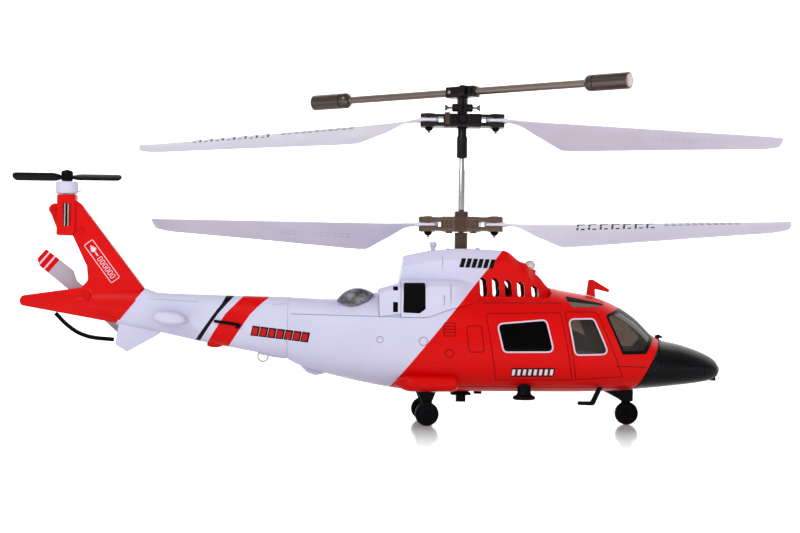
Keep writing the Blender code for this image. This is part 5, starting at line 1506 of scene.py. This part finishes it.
def upper_grip():
    """Black blade holder that rocks on the spindle, with a clear band."""
    z = UPPER_Z
    plates = (z - 2.1, z + 1.8)
    made = fork("upper_blade_holder", "blade_grip", "upper_grip", plates, (z - 0.8, z + 0.8), UPPER_YAW,
                HUB_BLACK)
    cuts = [box(-1.6, 1.6, -2.0, 2.0, z - 5, z + 5)]
    adds = []
    for side in (-1, 1):
        near, far = span(side, 1.0, 3.4)
        cuts.append(cylinder(0.5, near, far, (0, 0, z), "x", 24))
        low, high = span(side, 2.5, 4.9)
        adds.append(cylinder(0.45, low, high, (0, 0, z), "y", 24))
        low, high = span(side, 4.75, 5.15)
        adds.append(cylinder(1.05, low, high, (0, 0, z), "y", 32))
    cut(made, *[on_mast(s, UPPER_YAW) for s in cuts])
    join(made, *[on_mast(s, UPPER_YAW) for s in adds])
    fork_hardware("upper_holder", "blade_grip", plates, UPPER_YAW)
    band = [(-2.9, z - 1.5), (2.9, z - 1.5), (2.9, z + 2.2), (-2.9, z + 2.2)]
    ring = prism(fillet([(y * 1.12, h) for y, h in band], 0.6, 4), -5.3, -3.7, "x", 0.3)
    piece("grip_band", "blade_grip", on_mast(ring, UPPER_YAW), HUB_SMOKE)


def rotor_head():
    """Sleeve, waisted spindle and cross collar that turn with the inner shaft."""
    z = UPPER_Z
    profile = [(0, 84.3), (0.98, 84.3), (0.98, 78.0), (1.35, 78.0), (1.6, 78.25), (1.6, 83.8), (1.45, 84.3),
               (1.3, 84.6), (1.3, 90.8), (1.5, 91.3), (1.5, 94.0), (1.38, 94.4), (1.38, 95.9), (1.2, 96.1),
               (0, 96.1)]
    made = piece("rotor_spindle", "upper_rotor", at_mast(turned(profile, segments=40)), HUB_BLACK,
                 "rotor_head")
    collar = [(0, -3.1), (0.95, -3.1), (1.2, -2.8), (1.2, 2.8), (0.95, 3.1), (0, 3.1)]
    adds = [turned([(0, -3.1), (0.4, -3.1), (0.4, 3.1), (0, 3.1)], (0, 0, z), "x", 24),
            turned(collar, (0, 0, 92.9), "x", 8)]
    adds = [on_mast(s, UPPER_YAW) for s in adds]
    tongue = box(-1.3, 1.3, -0.9, 0.9, 94.0, FLYBAR_Z + 0.9, 0.2)
    join(made, *adds, on_mast(tongue, UPPER_YAW + FLYBAR_YAW))
    eye = cylinder(0.5, -3, 3, (0, 0, FLYBAR_Z), "y", 24)
    cut(made, on_mast(eye, UPPER_YAW + FLYBAR_YAW))
    screws = []
    for side in (-1, 1):
        profile = [(0, 2.9), (0.32, 2.9), (0.32, 3.9), (0.5, 4.4), (0.95, 5.0), (0.95, 5.2), (0.6, 5.3),
                   (0, 5.32)]
        solid = turned([(r, side * h) for r, h in profile], (0, 0, 92.9), "x", 28)
        screws.append(on_mast(solid, UPPER_YAW))
    piece("collar_screws", "upper_rotor", merged(*screws), SCREW)


def flybar():
    """Rod with end weights, and the hub that tilts on the spindle."""
    yaw = UPPER_YAW + FLYBAR_YAW
    end, thick = 54.7, 2.38
    rod = cylinder(1.1, -end + 3, end - 3, (0, 0, FLYBAR_Z), "x", 40)
    made = piece("stabiliser_rod", "stabiliser_bar", on_mast(rod, yaw), FLYBAR_METAL, "flybar")
    weights, caps = [], []
    for turn in (0, 180):
        profile = [(0, end), (thick - 0.15, end), (thick, end - 0.15), (thick, end - 10.4),
                   (thick - 0.22, end - 10.5),
                   (thick - 0.22, end - 10.8), (thick, end - 10.9), (thick, end - 12.4),
                   (thick - 0.25, end - 13.0),
                   (1.5, end - 13.6), (0, end - 13.7)]
        weights.append(on_mast(turned(profile, (0, 0, FLYBAR_Z), "x", 40), yaw + turn))
        face = [(0, end - 0.2), (1.8, end - 0.2), (1.8, end + 0.02), (1.5, end + 0.1), (0, end + 0.14)]
        caps.append(on_mast(turned(face, (0, 0, FLYBAR_Z), "x", 32), yaw + turn))
    piece("stabiliser_weights", "stabiliser_bar", merged(*weights), WEIGHT_METAL)
    piece("stabiliser_end_caps", "stabiliser_bar", merged(*caps), CAP_METAL)
    ears = [(-4.9, -1.9), (LINK_ALONG - 0.8, -2.1), (LINK_ALONG - 0.8, -4.2), (LINK_ALONG + 0.8, -4.2),
            (LINK_ALONG + 0.8, -2.1), (4.9, -1.9)]
    outline = fillet(ears + [(-x, -y) for x, y in ears], 0.35, 3)
    hub = at_mast(prism(outline, FLYBAR_Z - 1.6, FLYBAR_Z + 1.6, "z", 0.3))
    hub = piece("stabiliser_hub", "stabiliser_bar", turn_about(hub, yaw), HUB_BLACK)
    around = on_mast(cylinder(1.05, -6, 6, (0, 0, FLYBAR_Z), "x", 32), yaw)
    slot = at_mast(box(-2.0, 2.0, -1.15, 1.15, FLYBAR_Z - 3, FLYBAR_Z + 1.25))
    dents = []
    for side in (-1, 1):
        for k in range(2):
            low, high = span(side, 1.7, 3)
            near = -4.2 + 1.5 * k
            dents.append(on_mast(box(side * near - 0.35, side * near + 0.35, low, high, FLYBAR_Z - 0.9,
                                                FLYBAR_Z + 0.9), yaw))
    cut(hub, around, turn_about(slot, yaw), *dents)
    cut(made, turn_about(slot, yaw))
    pins = [on_mast(cylinder(0.4, -2.0, 2.0, (0, 0, FLYBAR_Z), "y", 24), yaw)]
    piece("stabiliser_pin", "stabiliser_bar", merged(*pins), STEEL)
    studs = []
    for side in (-1, 1):
        low, high = span(side, 1.8, 2.12)
        studs.append(on_mast(cylinder(0.5, low, high, (-3.4, 0, FLYBAR_Z), "y", 24), yaw))
    piece("stabiliser_studs", "stabiliser_bar", merged(*studs), STEEL)


def link(name, body, node, side):
    """Push rod between a flybar ear and a stud on the grip."""
    lean = radians(FLYBAR_YAW)
    a, b = side * LINK_ALONG, -side * LINK_ACROSS
    x = MAST_X + a * cos(lean) - b * sin(lean)
    y = a * sin(lean) + b * cos(lean)
    z = UPPER_Z
    ring = fillet([(0.62, y - 0.5), (1.5, y - 0.5), (1.5, y + 0.5), (0.62, y + 0.5)], 0.2, 3)
    eye = turned(ring, (x, 0, z), "y", 32)
    made = piece(name, body, turn_about(eye, UPPER_YAW), TRIM_BLACK, node)
    rod = prism(fillet([(x - 0.42, y - 0.4), (x + 0.42, y - 0.4), (x + 0.42, y + 0.4), (x - 0.42, y + 0.4)],
                       0.15, 3),
                z + 1.2, FLYBAR_Z - 2.1, "z", 0.1)
    join(made, turn_about(rod, UPPER_YAW))


# ---- Blades ----
def blade_section(reach, pitch, droop):
    """Chord, front edge, twist, thickness and level of a blade at its reach from the mast."""
    chord = smooth_value(BLADE_CHORD, reach) if reach > 16.5 else straight_value(BLADE_CHORD, reach)
    tip = max((reach - BLADE_REACH) / TIP_ROUND + 1, 0)
    tip = TIP_ROUND * (1 - max(1 - tip * tip, 0.02) ** 0.5)
    rise = eased((reach - BLADE_FLAT) / TWIST_LENGTH)
    outward = (reach - BLADE_FLAT) / (BLADE_REACH - BLADE_FLAT)
    thick = ROOT_THICK if reach <= BLADE_FLAT else BLADE_THICK - BLADE_THINNING * outward
    swept = 1.7 * max((reach - BLADE_REACH + 7) / 7, 0) ** 2
    front = BLADE_LEAD - 0.9 * min(max((7.8 - reach) / 0.8, 0), 1) - tip - swept
    drop = -tan(radians(droop)) * max(reach - DROOP_FROM, 0)
    return chord - 2 * tip - swept, front, radians(pitch) * rise, thick, rise, drop


def straight_value(points, x):
    """Value at x on straight lines through the points."""
    for (x0, y0), (x1, y1) in zip(points, points[1:]):
        if x <= x1:
            return y0 + (y1 - y0) * max(x - x0, 0) / (x1 - x0)
    return points[-1][1]


def blade_point(reach, share, level, lead_side, pitch, droop):
    """Point of a blade: share is along its chord from the front, level from -0.5 to 0.5 through it."""
    chord, front, twist, thick, rise, drop = blade_section(reach, pitch, droop)
    back = share * chord
    up = level * thick + 0.045 * chord * sin(pi * share) * rise
    across = front - back * cos(twist) + up * sin(twist)
    return reach, lead_side * across, drop - back * sin(twist) + up * cos(twist)


def blade_ring(reach, lead_side, pitch, droop):
    """Closed section of a blade, with a rounded front and a thin back."""
    shares = [0.0, 0.02, 0.06, 0.13, 0.22, 0.33, 0.46, 0.6, 0.74, 0.86, 0.95, 0.99, 1.0]
    ring = []
    for side, row in ((1, shares), (-1, shares[::-1])):
        for share in row:
            front_round = (share / 0.12) ** 0.5 if share < 0.12 else 1.0
            full = min(1.0, front_round, 0.35 + 0.65 * (1 - share) ** 0.5 * 1.9)
            full = full if reach > BLADE_FLAT else min(1.0, 0.6 + 8 * min(share, 1 - share))
            ring.append(blade_point(reach, share, side * 0.5 * max(full, 0.18), lead_side, pitch, droop))
    return ring


def blade(node, body, level, joint_yaw, lead_side, pitch, droop, print_from):
    """Twisted blade with printed dashes on its upper face and their painted shadow on its lower face."""
    stations = [7.0, 7.2, 7.5, 7.8, *spaced(8.6, 13, 1.1), *spaced(13.7, 29, 0.85), *spaced(30.5, 93.7, 2.1),
                94.1, 94.45,
                94.7, 94.88, BLADE_REACH]
    rings = [blade_ring(reach, lead_side, pitch, droop) for reach in stations]
    solid = moved(loft(rings), z=level)
    made = piece(f"{node}_skin", body, on_mast(solid, joint_yaw), BLADE, node)
    cut(made, on_mast(cylinder(0.8, level - 3, level + 3, (FOLD_RADIUS, 0, 0), "z", 32), joint_yaw))
    large, fine = print_from
    dashes = []
    for i in range(7):
        start = large + 3.35 * i
        dashes += [(start, start + 2.3, 0.07, 0.12), (start, start + 0.6, 0.12, 0.40),
                   (start + 1.3, start + 2.4, 0.34, 0.40)]
    fine_dashes = []
    for i in range(11):
        start = fine + 2.0 * i
        fine_dashes += [(start, start + 1.5, 0.10, 0.15), (start + 0.3, start + 1.7, 0.22, 0.27)]

    def patches(rows_of_dashes, upper, lower):
        solids = []
        for a, b, front, back in rows_of_dashes:
            rows = []
            for reach in (a, (a + b) / 2, b):
                top = [blade_point(reach, share, upper, lead_side, pitch, droop) for share in (front, back)]
                under = [blade_point(reach, share, lower, lead_side, pitch, droop) for share in (back, front)]
                rows.append(top + under)
            solids.append(loft(rows))
        return on_mast(moved(merged(*solids), z=level), joint_yaw)

    piece(f"{node}_print", body, patches(dashes, 0.56, 0.40), PRINT_BLACK)
    piece(f"{node}_fine_print", body, patches(fine_dashes, 0.56, 0.40), PRINT_GREY)
    # Faint dashes on the lower face: painted shadow of the print on the upper face.
    shadow = [(a + large - fine, b + large - fine, front + 0.35, back + 0.35) for a, b, front,
              back in fine_dashes]
    piece(f"{node}_print_shadow", body, patches(shadow, -0.40, -0.53), FAINT_PRINT_SHADOW)


def rotors():
    """Everything that turns with the mast."""
    shafts()
    lower_hub()
    upper_grip()
    rotor_head()
    flybar()
    link("link_rod_right", "right_link", "link_right", 1)
    link("link_rod_left", "left_link", "link_left", -1)
    blade("upper_blade_front", "upper_front", UPPER_Z, UPPER_YAW, -1, 24, 2.9, (57, 32))
    blade("upper_blade_rear", "upper_rear", UPPER_Z, UPPER_YAW + 180, -1, 24, 5.7, (57, 32))
    blade("lower_blade_front", "lower_front", LOWER_Z, LOWER_YAW, 1, 27, -0.9, (34, 59))
    blade("lower_blade_rear", "lower_rear", LOWER_Z, LOWER_YAW + 180, 1, 27, -0.9, (34, 59))


# ---- Pieces kept from the CAD ----
def kept_pieces():
    """Finishes for the parts that stay as they are in the frame."""
    finishes = {"main_frame": DULL_BLACK, "shaft_bearing": BRASS, "inner_shaft_gear": NYLON,
                "outer_shaft_gear": NYLON, "front_pinion": BRASS, "rear_pinion": BRASS,
                "front_motor": MOTOR_STEEL,
                "rear_motor": MOTOR_STEEL, "battery": BATTERY, "circuit_board": BOARD,
                "switch_body": DULL_BLACK,
                "switch_knob": TRIM_BLACK, "charge_socket": DULL_BLACK}
    for node, finish in finishes.items():
        for slot in frame["nodes"][node].material_slots:
            slot.material = finish


# ---- Studio ----
def stage_plane(name, corners, base, roughness, gloss, glow):
    """Flat sheet that belongs to the studio, whose gloss and glow change in front of the wheels; on the floor
    that glow is painted light, kept low near the wheels as painted shade.
    """
    mesh = bpy.data.meshes.new(name)
    mesh.from_pydata(corners, [], [(0, 1, 2, 3)])
    paint = bpy.data.materials.new(name)
    paint.use_nodes = True
    shader = paint.node_tree.nodes["Principled BSDF"]
    tree = paint.node_tree
    shader.inputs["Base Color"].default_value = (base, base, base, 1)
    shader.inputs["Roughness"].default_value = roughness
    shader.inputs["Emission Color"].default_value = (1, 1, 1, 1)
    place = add_node(tree, "ShaderNodeTexCoord", {}).outputs["Object"]
    across = add_node(tree, "ShaderNodeSeparateXYZ", {"Vector": place}).outputs["Y"]
    # The floor's glow rises from under the wheels to in front of them: painted shade near the helicopter,
    # painted light further out.
    for socket, values in (("Specular IOR Level", gloss), ("Emission Strength", glow)):
        fade = add_node(tree, "ShaderNodeMapRange", {"Value": across, "From Min": FLOOR_FADE[0],
                                                     "From Max": FLOOR_FADE[1],
                                                     "To Min": values[0], "To Max": values[1]})
        tree.links.new(fade.outputs["Result"], shader.inputs[socket])
    mesh.materials.append(paint)
    sheet = bpy.data.objects.new(name, mesh)
    bpy.context.scene.collection.objects.link(sheet)
    sheet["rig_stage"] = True


def studio():
    """Floor with painted light and shade in its glow, glowing backdrop, soft world light and two lamps."""
    reach, distance, height = 6.0, 1.6, 3.0
    stage_plane("floor", [(-reach, -reach, 0), (reach, -reach, 0), (reach, reach, 0), (-reach, reach, 0)],
                FLOOR_TONE, 0.1, *zip(FLOOR_NEAR, FLOOR_FAR))
    stage_plane("backdrop", [(-reach, distance, -0.01), (reach, distance, -0.01), (reach, distance, height),
                             (-reach, distance, height)], 0.8, 0.9, (0.0, 0.0),
                (BACKDROP_GLOW, BACKDROP_GLOW))
    world = bpy.data.worlds.new("studio")
    world.use_nodes = True
    world.node_tree.nodes["Background"].inputs["Color"].default_value = (1, 1, 1, 1)
    world.node_tree.nodes["Background"].inputs["Strength"].default_value = WORLD_GLOW
    bpy.context.scene.world = world
    for name, place, size, power, glossy in LIGHTS:
        light = bpy.data.lights.new(name, "AREA")
        light.shape = "DISK"
        light.size = size
        light.energy = power
        made = bpy.data.objects.new(name, light)
        made.location = place
        made.visible_glossy = glossy
        made.rotation_euler = (Vector(LIGHT_AIM) - Vector(place)).to_track_quat("-Z", "Y").to_euler()
        bpy.context.scene.collection.objects.link(made)
    bpy.context.scene.view_settings.view_transform = "Standard"


def camera():
    """Nearly level view of the starboard side from a little behind the middle."""
    turn, rise, tilt = map(radians, CAMERA_TURN)
    ahead = Vector((-sin(turn) * cos(rise), cos(turn) * cos(rise), -sin(rise)))
    right = Vector((cos(turn), sin(turn), 0))
    up = right.cross(ahead)
    right, up = right * cos(tilt) + up * sin(tilt), up * cos(tilt) - right * sin(tilt)
    made = bpy.data.objects.new("camera", bpy.data.cameras.new("camera"))
    made.data.lens = CAMERA_LENS
    made.data.clip_end = 20
    made.matrix_world = Matrix((right, up, -ahead)).transposed().to_4x4()
    made.location = Vector(CAMERA_PLACE) * MM
    bpy.context.scene.collection.objects.link(made)
    bpy.context.scene.camera = made


def build():
    """Every piece in turn, then its shading."""
    camera()
    studio()
    for side_name, side in (("right", -1), ("left", 1)):
        fuselage(side_name, side)
        glazing(side_name, side)
        intake(side_name, side)
        exhaust(side_name, side)
        boom_rail(side_name, side)
        stabiliser(side_name, side)
        fin_half(side_name, side)
        fin_label(side_name, side)
        main_gear(side_name, side)
    windscreen()
    cockpit()
    nose()
    cowling()
    tail_boom()
    tail_drive()
    tail_propeller()
    side_rotor()
    tail_hoop()
    fittings()
    marks()
    nose_gear()
    rotors()
    kept_pieces()
    for made in list(bpy.context.scene.objects):
        if made.type == "MESH" and "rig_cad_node" not in made and "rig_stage" not in made:
            shade(made)


build()
